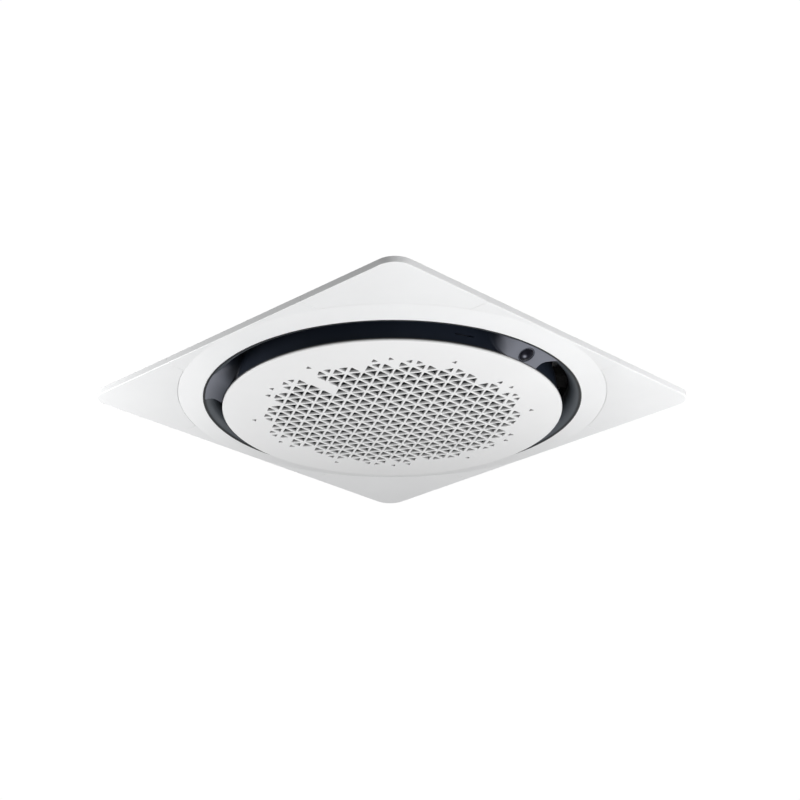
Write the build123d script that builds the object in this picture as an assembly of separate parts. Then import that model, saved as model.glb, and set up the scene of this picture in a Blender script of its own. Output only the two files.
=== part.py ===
from build123d import *
import math
import os

# Ceiling cassette air conditioner with one round outlet.
# A square panel sits under the ceiling, a sheet steel casing hangs above it.
# Every height below is measured up from the ceiling's lower surface.  When the
# pieces are written, the origin moves to the middle of the four hanger slots.
# All sizes are in millimetres and all angles in degrees, counted from +X.

# ---------------------------------------------------------------- decoration panel
PANEL_SIDE = 1000.0
PANEL_CORNER_R = 45.0
PANEL_RIM = 14.4
PANEL_WALL = 3.0
PANEL_EDGE_R = 1.5
DISH_R = 498.0
DISH_DEPTH = 23.5
TRAY_DEPTH = 8.0
TRAY_THICKNESS = 2.5

# ---------------------------------------------------------------- corner covers
COVER_SEAM_R = 499.5
COVER_CUT = 220.0
COVER_SEAM = 0.6
COVER_WALL = 2.4
COVER_POST_R = 5.0
COVER_POST_PITCH = 60.0

# ---------------------------------------------------------------- round outlet
LIP_R = 441.0
LIP_WIDTH = 3.0
LIP_DROP = 0.8
THROAT_R = 412.0
THROAT_HEIGHT = 10.0
OUTLET_TOP = 25.0
OUTLET_WALL = 2.5
OUTLET_FLANGE_R = 436.0

# ---------------------------------------------------------------- core ring
CORE_BOTTOM = -43.0
CORE_TOP = 24.0
CORE_BOTTOM_R = 388.8
CORE_TOP_R = 382.2
CORE_INNER_R = 326.0
CORE_WALL = 2.5
BOOST_SLOT_LENGTH = 46.0
BOOST_SLOT_HEIGHT = 3.5
BOOST_SLOT_Z = -18.0

# ---------------------------------------------------------------- bridges over the outlet
BRIDGE_ANGLES = (0.0, 120.0, -120.0)
BRIDGE_HALF_ANGLE = 13.0
BRIDGE_LOW_R = 401.0
BRIDGE_LOW_Z = -44.6
BRIDGE_HEEL_R = 397.6
BRIDGE_HEEL_Z = -42.6
BRIDGE_WALL = 2.6
BRIDGE_TOP = 21.0
BRIDGE_GAP = 0.3
SLOT_END_R = 13.0
SLOT_END_FLARE = 11.0

# ---------------------------------------------------------------- sensor eye
EYE_R = 18.0
EYE_RADIAL = 416.5
EYE_HEIGHT = -35.4
EYE_TILT = 28.5
EYE_RIM = 2.0
EYE_DEPTH = 14.0
LENS_R = 14.5
LENS_RISE = 8.0
EYE_BOARD = 30.0
BOARD_THICKNESS = 1.6

# ---------------------------------------------------------------- intake grille
GRILLE_R = 395.4
GRILLE_EDGE_Z = -50.4
GRILLE_DOME = 15.1
GRILLE_SHELL = 3.2
GRILLE_RIM_TOP = -43.0
GRILLE_RIM_WALL = 4.4
GRILLE_DEEP_R = 326.0
GRILLE_DEEP = 9.0
CELL_PITCH = 37.5
CELL_WEB = 4.2
CELL_FULL_R = 260.0
CELL_SMALL_R = 312.0
CELL_SMALL_SCALE = 0.44
CELL_SOLID_R = 278.0
BARE_BAND_START = 206.0
# The last holes thin out in a pattern that repeats six times round the disc.
# Each row is a radius and the angles, from 0 to 60 degrees, where a hole stands.
EDGE_CELLS = (
    (281, (28, 32)),
    (284, (8, 52)),
    (286, (19, 41)),
    (291, (45,)),
    (301, (26,)),
    (303, (22,)),
    (305, (7,)),
    (312, (14,)),
    (323, (40,)),
)
EDGE_CELL_MATCH = 1.5

# ---------------------------------------------------------------- filter
FILTER_R = 321.2
FILTER_BOTTOM = -36.0
FILTER_HEIGHT = 6.0
FILTER_FRAME_WIDTH = 14.0
FILTER_RIB = 3.0
FILTER_MESH_PITCH = 36.0
FILTER_MESH_STRAND = 3.0
FILTER_MESH_THICKNESS = 0.8
FILTER_SEAT_R = 318.5
FILTER_WALL_R = 323.5
FILTER_WALL_TOP = -31.0
FILTER_CLEARANCE = 0.3

# ---------------------------------------------------------------- grille hinge and latches
HINGE_Y = 393.0
HINGE_Z = -38.0
HINGE_X = 52.0
HINGE_PIN_R = 1.5
HINGE_BORE_CLEARANCE = 0.05
HINGE_EYE_R = 4.0
HINGE_LUG_WIDTH = 8.0
HINGE_KNUCKLE_WIDTH = 12.0
HINGE_SIDE_GAP = 0.5
LATCH_X = 60.0
LATCH_WIDTH = 12.0
LATCH_TIP_Y = -327.5
LATCH_TIP_Z = -41.0
LATCH_TIP_THICKNESS = 2.4
LATCH_BASE_LENGTH = 46.0
LATCH_BASE_THICKNESS = 3.0
LATCH_TAB_HEIGHT = 4.0
LATCH_GAP = 0.4
LATCH_WINDOW_MARGIN = 0.8

# ---------------------------------------------------------------- booster fans in the core ring
BOOST_ANGLES = (-21.5, 98.5, -141.5)
BOOST_CENTRE_R = 355.0
BOOST_HOUSING_R = 24.0
BOOST_HOUSING_WALL = 2.0
BOOST_HOUSING_BOTTOM = -17.0
BOOST_MOTOR_R = 12.0
BOOST_MOTOR_BOTTOM = 6.0
BOOST_SHAFT_R = 1.5
BOOST_IMPELLER_R = 19.0
BOOST_IMPELLER_HEIGHT = 15.0
BOOST_BLADES = 12

# ---------------------------------------------------------------- casing
CASING_SIDE = 910.0
CASING_CUT = 110.0
CASING_BOTTOM = 6.0
CASING_TOP = 281.0
SHEET = 1.2
LID_RIB_HEIGHT = 2.0
LID_RIB_WIDTH = 26.0
LID_RIB_START = 114.0
LID_SKIRT = 12.0
FIT_GAP = 0.3

# ---------------------------------------------------------------- hangers
HANGER_HEIGHT = 120.0
HANGER_SPACING = 857.0
HANGER_WIDTH = 60.0
HANGER_THICKNESS = 3.0
HANGER_TIP = 33.0
HANGER_SLOT_LENGTH = 30.0
HANGER_SLOT_R = 6.0
HANGER_PLATE_TOP = 150.0
FOOT_HEIGHT = 6.0
FOOT_LENGTH = 46.0
PANEL_SCREW_DIAGONAL = 590.0
PANEL_SCREW_R = 2.5
PANEL_SCREW_HEAD_R = 6.0
PANEL_SCREW_HEAD = 3.5
PANEL_SCREW_HOLE_R = 3.0
THREAD_CLEARANCE = 0.05

# ---------------------------------------------------------------- insulation
LINER_BORE_R = 443.0
LINER_BOTTOM = 30.0
LINER_NECK_R = 414.0
LINER_NECK_TOP = 56.0
LINER_CONE_TOP = 80.0
LINER_ROOF = 258.0
LINER_MOTOR_HOLE_R = 96.0

# ---------------------------------------------------------------- seals
SEAL_WIDTH = 14.0

# ---------------------------------------------------------------- bell mouth
BELL_FLANGE_R = 345.0
BELL_FLANGE_Z = 28.0
BELL_THICKNESS = 2.0
BELL_CURVE_R = 57.0
BELL_THROAT_R = 178.0

# ---------------------------------------------------------------- drain pan
PAN_INNER_R = 243.0
PAN_OUTER_R = 377.0
PAN_BOTTOM = 31.0
PAN_TOP = 62.0
TROUGH_INNER_R = 288.0
TROUGH_OUTER_R = 350.0
TROUGH_FLOOR = 45.0
PAN_ARM_START = 365.0
PAN_ARM_WIDTH = 70.0
PAN_ARM_TOP = 55.0
PAN_ARM_REACH = 548.0
SUMP_ARM_WIDTH = 130.0
SUMP_WIDTH = 96.0
SUMP_REACH = 520.0

# ---------------------------------------------------------------- drain pump, float and spigot
PUMP_X = -362.0
PUMP_Y = 322.0
PUMP_BODY_R = 28.0
PUMP_BODY_BOTTOM = 74.0
PUMP_BODY_TOP = 150.0
PUMP_WALL = 2.5
PUMP_INLET_R = 12.0
PUMP_INLET_BOTTOM = 48.0
PUMP_WHEEL_R = 22.0
PUMP_WHEEL_HEIGHT = 14.0
PUMP_SHAFT_R = 3.0
POCKET_CLEARANCE = 4.0
FLOAT_X = -320.0
FLOAT_Y = 366.0
FLOAT_R = 11.0
FLOAT_BOTTOM = 50.0
FLOAT_HEIGHT = 14.0
FLOAT_STEM_R = 4.0
FLOAT_STEM_TOP = 110.0
FLOAT_STOP_R = 7.0
FLOAT_TRAVEL = 12.0
SPIGOT_R = 16.0
SPIGOT_WALL = 2.5
SPIGOT_Z = 135.0
SPIGOT_END = -494.0
SPIGOT_STUB_START = -462.0
SPIGOT_NECK_R = 14.5
SPIGOT_COLLAR_R = 21.0
SPIGOT_COLLAR = 3.0

# ---------------------------------------------------------------- heat exchanger
COIL_INNER_R = 298.0
COIL_OUTER_R = 338.0
COIL_FOOT_GAP = 0.3
COIL_BOTTOM = TROUGH_FLOOR + COIL_FOOT_GAP
COIL_TOP = 254.0
COIL_GAP_HALF = 11.0
COIL_GROOVES = 22
COIL_GROOVE_DEPTH = 1.5
COIL_GROOVE_WIDTH = 3.0
COIL_END_PLATE = 1.5
TUBE_R = 4.76
TUBE_CLEARANCE = 0.1
TUBE_ROWS = 8
TUBE_FIRST_Z = 62.0
TUBE_ROW_PITCH = 25.5
TUBE_INNER_R = 308.0
TUBE_OUTER_R = 328.0

# ---------------------------------------------------------------- refrigerant pipes
GAS_PIPE_R = 7.94
LIQUID_PIPE_R = 4.76
PIPE_WALL = 1.0
GAS_PIPE_Z = 190.0
LIQUID_PIPE_Z = 150.0
PIPE_HEADER_X = -318.0
GAS_PIPE_Y = -24.0
LIQUID_PIPE_Y = 24.0
PIPE_END_X = -496.0
PIPE_END_LENGTH = 14.0
PIPE_END_STEP = 0.5
FLARE_NUT_START = -462.0
FLARE_NUT_LENGTH = 18.0
GAS_NUT_FLATS = 27.0
LIQUID_NUT_FLATS = 17.0
PIPE_PLATE_WIDTH = 120.0
PIPE_PLATE_HEIGHT = 110.0
PIPE_PLATE_Z = 170.0
PIPE_HOLE_CLEARANCE = 2.0

# ---------------------------------------------------------------- cable gland
GLAND_Y = -220.0
GLAND_Z = 190.0
GLAND_R = 11.0
GLAND_BORE_R = 7.0
GLAND_FLANGE_R = 15.0
GLAND_INSIDE = 8.0
GLAND_OUTSIDE = 18.0

# ---------------------------------------------------------------- turbo fan
FAN_R = 240.0
FAN_TOP = 234.0
FAN_PLATE = 2.5
FAN_HUB_R = 98.0
FAN_BOWL_R = 82.0
FAN_BOSS_R = 16.0
FAN_BOSS_BOTTOM = 172.0
FAN_BOSS_TOP = 192.0
FAN_INLET_R = 187.0
FAN_INLET_BOTTOM = 82.0
FAN_SHROUD_EDGE_Z = 130.0
FAN_SHROUD_WALL = 2.5
FAN_BLADES = 7
FAN_BLADE_ROOT_R = 150.0
FAN_BLADE_THICKNESS = 5.0
FAN_BLADE_SWEEP = 48.0
FAN_BLADE_BOW = 16.0

# ---------------------------------------------------------------- fan motor
MOTOR_R = 70.0
MOTOR_BOTTOM = 198.0
MOTOR_TOP = 268.0
MOTOR_FLANGE_THICKNESS = 3.0
MOTOR_EAR_R = 84.0
MOTOR_EAR_PAD_R = 12.0
MOTOR_EARS = 3
MOTOR_SHAFT_R = 6.0
MOTOR_SHAFT_BOTTOM = 158.0
MOTOR_BORE_CLEARANCE = 0.05
MOUNT_RUBBER_R = 10.0
MOUNT_SCREW_R = 3.0
MOUNT_SCREW_HEAD_R = 6.0
MOUNT_SCREW_HEAD = 3.0
NUT_FLATS = 19.0
NUT_HEIGHT = 9.0

# ---------------------------------------------------------------- control box
BOX_WIDTH = 220.0
BOX_NEAR_Y = -216.0
BOX_FAR_Y = -294.0
BOX_BOTTOM = -24.0
BOX_WALL = 2.0
BOX_BOARD_Z = 4.0
BOX_BOARD_MARGIN = 8.0
BOX_SPACER_R = 4.0
CHIP_PLACES = (-85.0, -50.0, -10.0)
CHIP_LENGTH = 22.0
CHIP_WIDTH = 26.0
CHIP_HEIGHT = 12.0
TERMINAL_LENGTH = 60.0
TERMINAL_DEPTH = 20.0
TERMINAL_HEIGHT = 14.0
TERMINAL_WAYS = 5
TERMINAL_HOLE_R = 3.0
TERMINAL_HOLE = 5.0


# ================================================================ helpers
def ring(outer_r, inner_r, bottom, top):
    """An upright tube round the Z axis."""
    flat = Circle(outer_r) - Circle(inner_r)
    return Pos(0, 0, bottom) * extrude(flat, amount=top - bottom)


def rod(radius, bottom, top, x=0.0, y=0.0):
    """An upright round bar."""
    return Pos(x, y, bottom) * extrude(Circle(radius), amount=top - bottom)


def rod_x(radius, start, end, y, z):
    """A round bar along X."""
    return Pos(start, y, z) * Rot(0, 90, 0) * extrude(Circle(radius), amount=end - start)


def block(x0, x1, y0, y1, z0, z1):
    """A box from its lowest to its highest corner."""
    centre = Pos((x0 + x1) / 2, (y0 + y1) / 2, (z0 + z1) / 2)
    return centre * Box(x1 - x0, y1 - y0, z1 - z0)


def turned(outline, angle=360.0, start=0.0):
    """Turn a closed outline of (radius, height) points about the Z axis."""
    face = make_face(Plane.XZ * Polyline(*outline, close=True))
    return Rot(0, 0, start) * revolve(face, axis=Axis.Z, revolution_arc=angle)


def polar(radius, angle):
    """X and Y of a point given by radius and angle."""
    return radius * math.cos(math.radians(angle)), radius * math.sin(math.radians(angle))


def write(name, shape):
    """Write one piece, with the origin moved up to the hanger slots."""
    export_step(Pos(0, 0, -HANGER_HEIGHT) * shape, f"parts/{name}.step")


def write_group(name, solids):
    """Write identical loose pieces as one group of separate solids."""
    write(name, Compound(children=[solid for solid in solids]))


# ================================================================ decoration panel
def corner_region(sign_x, sign_y, height, seam):
    """The plan of one corner cover as a tall prism, from the seam outwards."""
    start = COVER_CUT + seam
    end = PANEL_SIDE
    quarter = block(
        min(sign_x * start, sign_x * end), max(sign_x * start, sign_x * end),
        min(sign_y * start, sign_y * end), max(sign_y * start, sign_y * end),
        -height, height,
    )
    return quarter - rod(COVER_SEAM_R + seam, -height, height)


def panel_blank(inset, bottom, top):
    """A rounded square slab, set in from the panel's edge."""
    side = PANEL_SIDE - 2 * inset
    plan = RectangleRounded(side, side, PANEL_CORNER_R - inset)
    return Pos(0, 0, bottom) * extrude(plan, amount=top - bottom)


def panel_outside():
    """The panel's square outer form, with its lower edge rounded."""
    slab = panel_blank(0, -PANEL_RIM, 0)
    return fillet(slab.faces().sort_by(Axis.Z)[0].edges(), PANEL_EDGE_R)


def dish(offset):
    """The shallow cone between the flat border and the outlet, moved up by offset."""
    return turned([
        (0, 0),
        (DISH_R, 0),
        (DISH_R, -PANEL_RIM + offset),
        (LIP_R, -DISH_DEPTH + offset),
        (0, -DISH_DEPTH + offset),
    ])


def panel_frame():
    shell = panel_outside() + dish(0)
    hollow = panel_blank(PANEL_WALL, -PANEL_RIM + PANEL_WALL, 1) + dish(PANEL_WALL)
    frame = shell - hollow - rod(LIP_R, -2 * DISH_DEPTH, DISH_DEPTH)
    for sign_x in (-1, 1):
        for sign_y in (-1, 1):
            frame -= corner_region(sign_x, sign_y, PANEL_RIM + 1, 0)
            tray = corner_region(sign_x, sign_y, PANEL_RIM + 1, -PANEL_WALL)
            slab = panel_blank(COVER_WALL, -TRAY_DEPTH, -TRAY_DEPTH + TRAY_THICKNESS)
            wall = corner_region(sign_x, sign_y, PANEL_RIM + 1, 0)
            wall = (tray - wall) & panel_blank(COVER_WALL, -PANEL_RIM, -TRAY_DEPTH)
            frame += (tray & slab) + wall
            x = sign_x * PANEL_SCREW_DIAGONAL / math.sqrt(2)
            y = sign_y * PANEL_SCREW_DIAGONAL / math.sqrt(2)
            frame -= rod(PANEL_SCREW_HOLE_R, -PANEL_RIM, 1, x, y)
    return frame


def corner_cover(sign_x, sign_y):
    region = corner_region(sign_x, sign_y, PANEL_RIM + 1, COVER_SEAM)
    cover = panel_outside() - panel_blank(COVER_WALL, -PANEL_RIM + COVER_WALL, 1)
    cover = cover & region
    middle = PANEL_SIDE / 2 - 2 * PANEL_CORNER_R
    for shift in (-COVER_POST_PITCH, COVER_POST_PITCH):
        x = sign_x * (middle + min(shift, 0) / 2)
        y = sign_y * (middle - max(shift, 0) / 2)
        cover += rod(COVER_POST_R, -PANEL_RIM + COVER_WALL, -TRAY_DEPTH, x, y)
    return cover


# ================================================================ round outlet
def flare_radius():
    """Radius of the arc that leaves the throat upright and ends at the lip."""
    reach = LIP_R - LIP_WIDTH - THROAT_R
    drop = THROAT_HEIGHT + DISH_DEPTH + LIP_DROP
    return (reach ** 2 + drop ** 2) / (2 * reach)


def flare_arc(radius, end_z):
    """The flare's arc from the throat down to a height, about its own centre."""
    centre_r = THROAT_R + flare_radius()
    sweep = math.asin((THROAT_HEIGHT - end_z) / radius)
    middle = (
        centre_r - radius * math.cos(sweep / 2),
        THROAT_HEIGHT - radius * math.sin(sweep / 2),
    )
    start = (centre_r - radius, THROAT_HEIGHT)
    end = (centre_r - radius * math.cos(sweep), end_z)
    return start, middle, end


def revolve_outline(parts, angle=360.0, start=0.0):
    """Turn a closed outline of lines and arcs; an arc is given by three points."""
    edges = []
    for part in parts:
        if len(part) == 3:
            edges.append(ThreePointArc(*part))
        else:
            edges.append(Line(*part))
    face = make_face([Plane.XZ * edge for edge in edges])
    return Rot(0, 0, start) * revolve(face, axis=Axis.Z, revolution_arc=angle)


def outlet_ring():
    lip_z = -DISH_DEPTH - LIP_DROP
    start, middle, end = flare_arc(flare_radius(), lip_z)
    back_z = lip_z + OUTLET_WALL
    back_start, back_middle, back_end = flare_arc(flare_radius() - OUTLET_WALL, back_z)
    flange_z = OUTLET_TOP - OUTLET_WALL
    return revolve_outline([
        ((THROAT_R, OUTLET_TOP), start),
        (start, middle, end),
        (end, (LIP_R, lip_z)),
        ((LIP_R, lip_z), (LIP_R, back_z)),
        ((LIP_R, back_z), back_end),
        (back_end, back_middle, back_start),
        (back_start, (THROAT_R + OUTLET_WALL, flange_z)),
        ((THROAT_R + OUTLET_WALL, flange_z), (OUTLET_FLANGE_R, flange_z)),
        ((OUTLET_FLANGE_R, flange_z), (OUTLET_FLANGE_R, OUTLET_TOP)),
        ((OUTLET_FLANGE_R, OUTLET_TOP), (THROAT_R, OUTLET_TOP)),
    ])


def core_outer_r(z, offset=0.0):
    """Radius of the core ring's outer wall at a height."""
    share = (z - CORE_BOTTOM) / (CORE_TOP - CORE_BOTTOM)
    return CORE_BOTTOM_R + (CORE_TOP_R - CORE_BOTTOM_R) * share + offset


def core_ring():
    shell = turned([
        (CORE_INNER_R, CORE_BOTTOM),
        (CORE_INNER_R, CORE_TOP),
        (CORE_TOP_R, CORE_TOP),
        (CORE_BOTTOM_R, CORE_BOTTOM),
    ])
    inner_top = CORE_TOP - CORE_WALL
    hollow = turned([
        (CORE_INNER_R + CORE_WALL, CORE_BOTTOM - 1),
        (CORE_INNER_R + CORE_WALL, inner_top),
        (core_outer_r(inner_top, -CORE_WALL), inner_top),
        (core_outer_r(CORE_BOTTOM - 1, -CORE_WALL), CORE_BOTTOM - 1),
    ])
    core = shell - hollow
    for angle in BOOST_ANGLES:
        slot = block(
            CORE_INNER_R + 2 * CORE_WALL, CORE_BOTTOM_R + 1,
            -BOOST_SLOT_LENGTH / 2, BOOST_SLOT_LENGTH / 2,
            BOOST_SLOT_Z - BOOST_SLOT_HEIGHT / 2, BOOST_SLOT_Z + BOOST_SLOT_HEIGHT / 2,
        )
        core -= Rot(0, 0, angle) * slot
    for sign in (-1, 1):
        core -= latch_window(sign)
        for side in (-1, 1):
            core += hinge_lug(sign * HINGE_X + side * (HINGE_KNUCKLE_WIDTH / 2 + HINGE_SIDE_GAP), side)
    return core


# ================================================================ grille hinge
def hinge_lug(near_x, side):
    """One fixed ear of the hinge, from the core ring's wall out to the pin."""
    far_x = near_x + side * HINGE_LUG_WIDTH
    x0 = min(near_x, far_x)
    x1 = max(near_x, far_x)
    wall_y = math.sqrt(core_outer_r(HINGE_Z) ** 2 - (HINGE_X + HINGE_KNUCKLE_WIDTH) ** 2)
    arm = block(x0, x1, wall_y - CORE_WALL, HINGE_Y, HINGE_Z, HINGE_Z + HINGE_EYE_R)
    nose = rod_x(HINGE_EYE_R, x0, x1, HINGE_Y, HINGE_Z)
    hole = rod_x(HINGE_PIN_R + HINGE_BORE_CLEARANCE, x0 - 1, x1 + 1, HINGE_Y, HINGE_Z)
    return (arm + nose) - hole


def hinge_pin(sign):
    """A pin fixed in the grille's knuckle, turning in the two ears."""
    half = HINGE_KNUCKLE_WIDTH / 2 + HINGE_SIDE_GAP + HINGE_LUG_WIDTH
    return rod_x(HINGE_PIN_R, sign * HINGE_X - half, sign * HINGE_X + half, HINGE_Y, HINGE_Z)


def hinge_knuckle(sign):
    """The grille's half of the hinge, rising from its rim."""
    x0 = sign * HINGE_X - HINGE_KNUCKLE_WIDTH / 2
    x1 = sign * HINGE_X + HINGE_KNUCKLE_WIDTH / 2
    foot = GRILLE_EDGE_Z + GRILLE_SHELL / 2
    web = block(x0, x1, HINGE_Y - HINGE_EYE_R, HINGE_Y - 1, foot, HINGE_Z)
    nose = rod_x(HINGE_EYE_R, x0, x1, HINGE_Y, HINGE_Z)
    hole = rod_x(HINGE_PIN_R, x0 - 1, x1 + 1, HINGE_Y, HINGE_Z)
    return (web + nose) - hole


# ================================================================ intake grille
def dome_z(radius):
    """Height of the grille's lower face at a radius."""
    return GRILLE_EDGE_Z - GRILLE_DOME * (1 - (radius / GRILLE_R) ** 2)


def dome_arc(radius, lift):
    """Three points of the dome from the middle out to a radius, lifted."""
    return (
        (0, dome_z(0) + lift),
        (radius / 2, dome_z(radius / 2) + lift),
        (radius, dome_z(radius) + lift),
    )


def cell_scale(radius):
    """How large a perforation is, as a share of its cell."""
    share = min(1.0, max(0.0, (radius - CELL_FULL_R) / (CELL_SMALL_R - CELL_FULL_R)))
    return 1.0 + (CELL_SMALL_SCALE - 1.0) * share


def has_cell(x, y):
    """Whether a place of the lattice has a perforation."""
    radius = math.hypot(x, y)
    if radius < CELL_SOLID_R:
        return True
    angle = math.degrees(math.atan2(y, x)) % 60
    for edge_radius, places in EDGE_CELLS:
        for place in places:
            if abs(radius - edge_radius) < EDGE_CELL_MATCH and abs(angle - place) < EDGE_CELL_MATCH:
                return True
    return False


def cells():
    """Centre, rotation and radius of every triangular perforation."""
    row_height = CELL_PITCH * math.sqrt(3) / 2
    reach = int(2 * GRILLE_DEEP_R / row_height) + 2
    found = []
    for i in range(-reach, reach):
        for j in range(-reach, reach):
            for half in (0, 1):
                along_30 = i + (1 + half) / 3
                along_90 = j + (1 + half) / 3
                x = CELL_PITCH * along_30 * math.cos(math.radians(30))
                y = CELL_PITCH * (along_30 / 2 + along_90)
                bare = 0 < x < row_height and y < -BARE_BAND_START
                if has_cell(x, y) and not bare:
                    found.append((x, y, 180 * half, math.hypot(x, y)))
    return found


def perforation_plan():
    """All perforations as one flat sketch."""
    inner = CELL_PITCH / math.sqrt(3) - CELL_WEB
    plan = []
    for x, y, turn, radius in cells():
        size = inner * cell_scale(radius)
        corners = [polar(size, turn + 120 * k) for k in range(3)]
        wire = Polyline(*[(x + cx, y + cy) for cx, cy in corners], close=True)
        plan.append(make_face(wire))
    return plan


def grille_wall_notch(sign):
    """Room in the filter's seat for one latch."""
    half = LATCH_WIDTH / 2 + LATCH_GAP
    return block(
        sign * LATCH_X - half, sign * LATCH_X + half, -FILTER_WALL_R - 5, -FILTER_SEAT_R + 25,
        latch_base_z(), LATCH_TIP_Z + LATCH_TIP_THICKNESS + LATCH_GAP,
    )


def latch_base_z():
    """The flat that a latch slides on, just above the grille's ribs."""
    return dome_z(GRILLE_DEEP_R) + GRILLE_DEEP


def intake_grille():
    deep_top = dome_z(GRILLE_DEEP_R) + GRILLE_DEEP
    rim_inner = GRILLE_R - GRILLE_RIM_WALL
    shell_step = (GRILLE_DEEP_R, dome_z(GRILLE_DEEP_R) + GRILLE_SHELL)
    skin = revolve_outline([
        dome_arc(GRILLE_R, 0),
        ((GRILLE_R, dome_z(GRILLE_R)), (GRILLE_R, GRILLE_RIM_TOP)),
        ((GRILLE_R, GRILLE_RIM_TOP), (rim_inner, GRILLE_RIM_TOP)),
        ((rim_inner, GRILLE_RIM_TOP), (rim_inner, dome_z(rim_inner) + GRILLE_SHELL)),
        ((rim_inner, dome_z(rim_inner) + GRILLE_SHELL), shell_step),
        (shell_step, (GRILLE_DEEP_R, deep_top)),
        dome_arc(GRILLE_DEEP_R, GRILLE_DEEP),
        ((0, dome_z(0) + GRILLE_DEEP), (0, dome_z(0))),
    ])
    grille = skin + ring(FILTER_WALL_R, FILTER_SEAT_R, deep_top - 1, FILTER_BOTTOM)
    grille += ring(FILTER_WALL_R, FILTER_R + FILTER_CLEARANCE, FILTER_BOTTOM, FILTER_WALL_TOP)
    for sign in (-1, 1):
        grille -= grille_wall_notch(sign)
        grille += hinge_knuckle(sign)
    bottom = dome_z(0) - 1
    return grille - [
        Pos(0, 0, bottom) * extrude(face, amount=deep_top - bottom) for face in perforation_plan()
    ]


# ================================================================ filter
def filter_frame():
    top = FILTER_BOTTOM + FILTER_HEIGHT
    rim = ring(FILTER_R, FILTER_R - FILTER_FRAME_WIDTH, FILTER_BOTTOM, top)
    inner = FILTER_R - FILTER_FRAME_WIDTH / 2
    ribs = []
    for angle in range(0, 180, 45):
        rib = block(-inner, inner, -FILTER_RIB / 2, FILTER_RIB / 2, FILTER_BOTTOM, top)
        ribs.append(Rot(0, 0, angle) * rib)
    return rim + ribs - filter_mesh_space()


def filter_mesh_space():
    """The slot in the frame that holds the mesh."""
    bottom = FILTER_BOTTOM + FILTER_HEIGHT / 2
    return rod(filter_mesh_r(), bottom, bottom + FILTER_MESH_THICKNESS)


def filter_mesh_r():
    return FILTER_R - FILTER_FRAME_WIDTH / 2


def filter_mesh():
    bottom = FILTER_BOTTOM + FILTER_HEIGHT / 2
    half = (FILTER_MESH_PITCH - FILTER_MESH_STRAND) / 2
    reach = int(filter_mesh_r() / FILTER_MESH_PITCH) + 1
    gaps = []
    for i in range(-reach, reach):
        for j in range(-reach, reach):
            x = (i + 0.5) * FILTER_MESH_PITCH
            y = (j + 0.5) * FILTER_MESH_PITCH
            if math.hypot(abs(x) + half, abs(y) + half) < filter_mesh_r() - FILTER_MESH_STRAND:
                gap = Rectangle(2 * half, 2 * half)
                gaps.append(Pos(x, y, bottom - 1) * extrude(gap, amount=3))
    return filter_mesh_space() - gaps


# ================================================================ latches
def latch_window(sign):
    """The hole in the core ring's inner wall that a latch engages."""
    margin = LATCH_WINDOW_MARGIN
    half = LATCH_WIDTH / 2 + margin
    return block(
        sign * LATCH_X - half, sign * LATCH_X + half, -CORE_INNER_R - 2 * CORE_WALL, -CORE_INNER_R + 15,
        LATCH_TIP_Z - LATCH_GAP, LATCH_TIP_Z + LATCH_TIP_THICKNESS + margin,
    )


def grille_latch(sign):
    half = LATCH_WIDTH / 2
    x0 = sign * LATCH_X - half
    x1 = sign * LATCH_X + half
    tip_top = LATCH_TIP_Z + LATCH_TIP_THICKNESS
    base_z = latch_base_z() + LATCH_GAP
    root_y = -math.sqrt(FILTER_WALL_R ** 2 - (LATCH_X + half) ** 2)
    tip = block(x0, x1, LATCH_TIP_Y, root_y + 6, LATCH_TIP_Z, tip_top)
    riser = block(x0, x1, root_y + 2, root_y + 6, base_z, tip_top)
    base = block(x0, x1, root_y + 2, root_y + LATCH_BASE_LENGTH, base_z, base_z + LATCH_BASE_THICKNESS)
    tab = block(
        x0, x1, root_y + LATCH_BASE_LENGTH - 4, root_y + LATCH_BASE_LENGTH,
        base_z, base_z + LATCH_TAB_HEIGHT + LATCH_BASE_THICKNESS,
    )
    return base + riser + tip + tab


# ================================================================ bridges
def bridge_outline(offset):
    """Closed section of a bridge, shrunk inwards by offset."""
    gap = BRIDGE_GAP + offset
    lip_z = -DISH_DEPTH - LIP_DROP + 0.4
    start, middle, end = flare_arc(flare_radius() + gap, lip_z + offset * 1.2)
    heel_in = core_outer_r(BRIDGE_HEEL_Z, gap)
    top_in = core_outer_r(BRIDGE_TOP, gap)
    low = (BRIDGE_LOW_R + offset / 2, BRIDGE_LOW_Z + offset * 1.2)
    heel = (BRIDGE_HEEL_R - offset / 2, BRIDGE_HEEL_Z + offset)
    top_z = BRIDGE_TOP + (1 if offset else 0)
    return [
        ((heel_in, heel[1]), heel),
        (heel, low),
        (low, end),
        (end, middle, start),
        (start, (start[0], top_z)),
        ((start[0], top_z), (top_in, top_z)),
        ((top_in, top_z), (heel_in, heel[1])),
    ]


def slot_end(angle, offset):
    """The rounded end of the outlet slot, wider towards the room."""
    middle_r = (THROAT_R + CORE_TOP_R) / 2
    x, y = polar(middle_r, angle)
    radius = SLOT_END_R + offset
    body = turned([
        (0, BRIDGE_TOP + 2),
        (radius, BRIDGE_TOP + 2),
        (radius, THROAT_HEIGHT),
        (radius + SLOT_END_FLARE / 3, -DISH_DEPTH / 2),
        (radius + SLOT_END_FLARE, -DISH_DEPTH - LIP_DROP),
        (radius + 2 * SLOT_END_FLARE, CORE_BOTTOM - 5),
        (0, CORE_BOTTOM - 5),
    ])
    return Pos(x, y, 0) * body


def eye_place(angle):
    """The plane of the sensor eye on its bridge, looking outwards and down."""
    x, y = polar(EYE_RADIAL, angle)
    return Pos(x, y, EYE_HEIGHT) * Rot(0, 0, angle) * Rot(0, 180 - EYE_TILT, 0)


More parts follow.
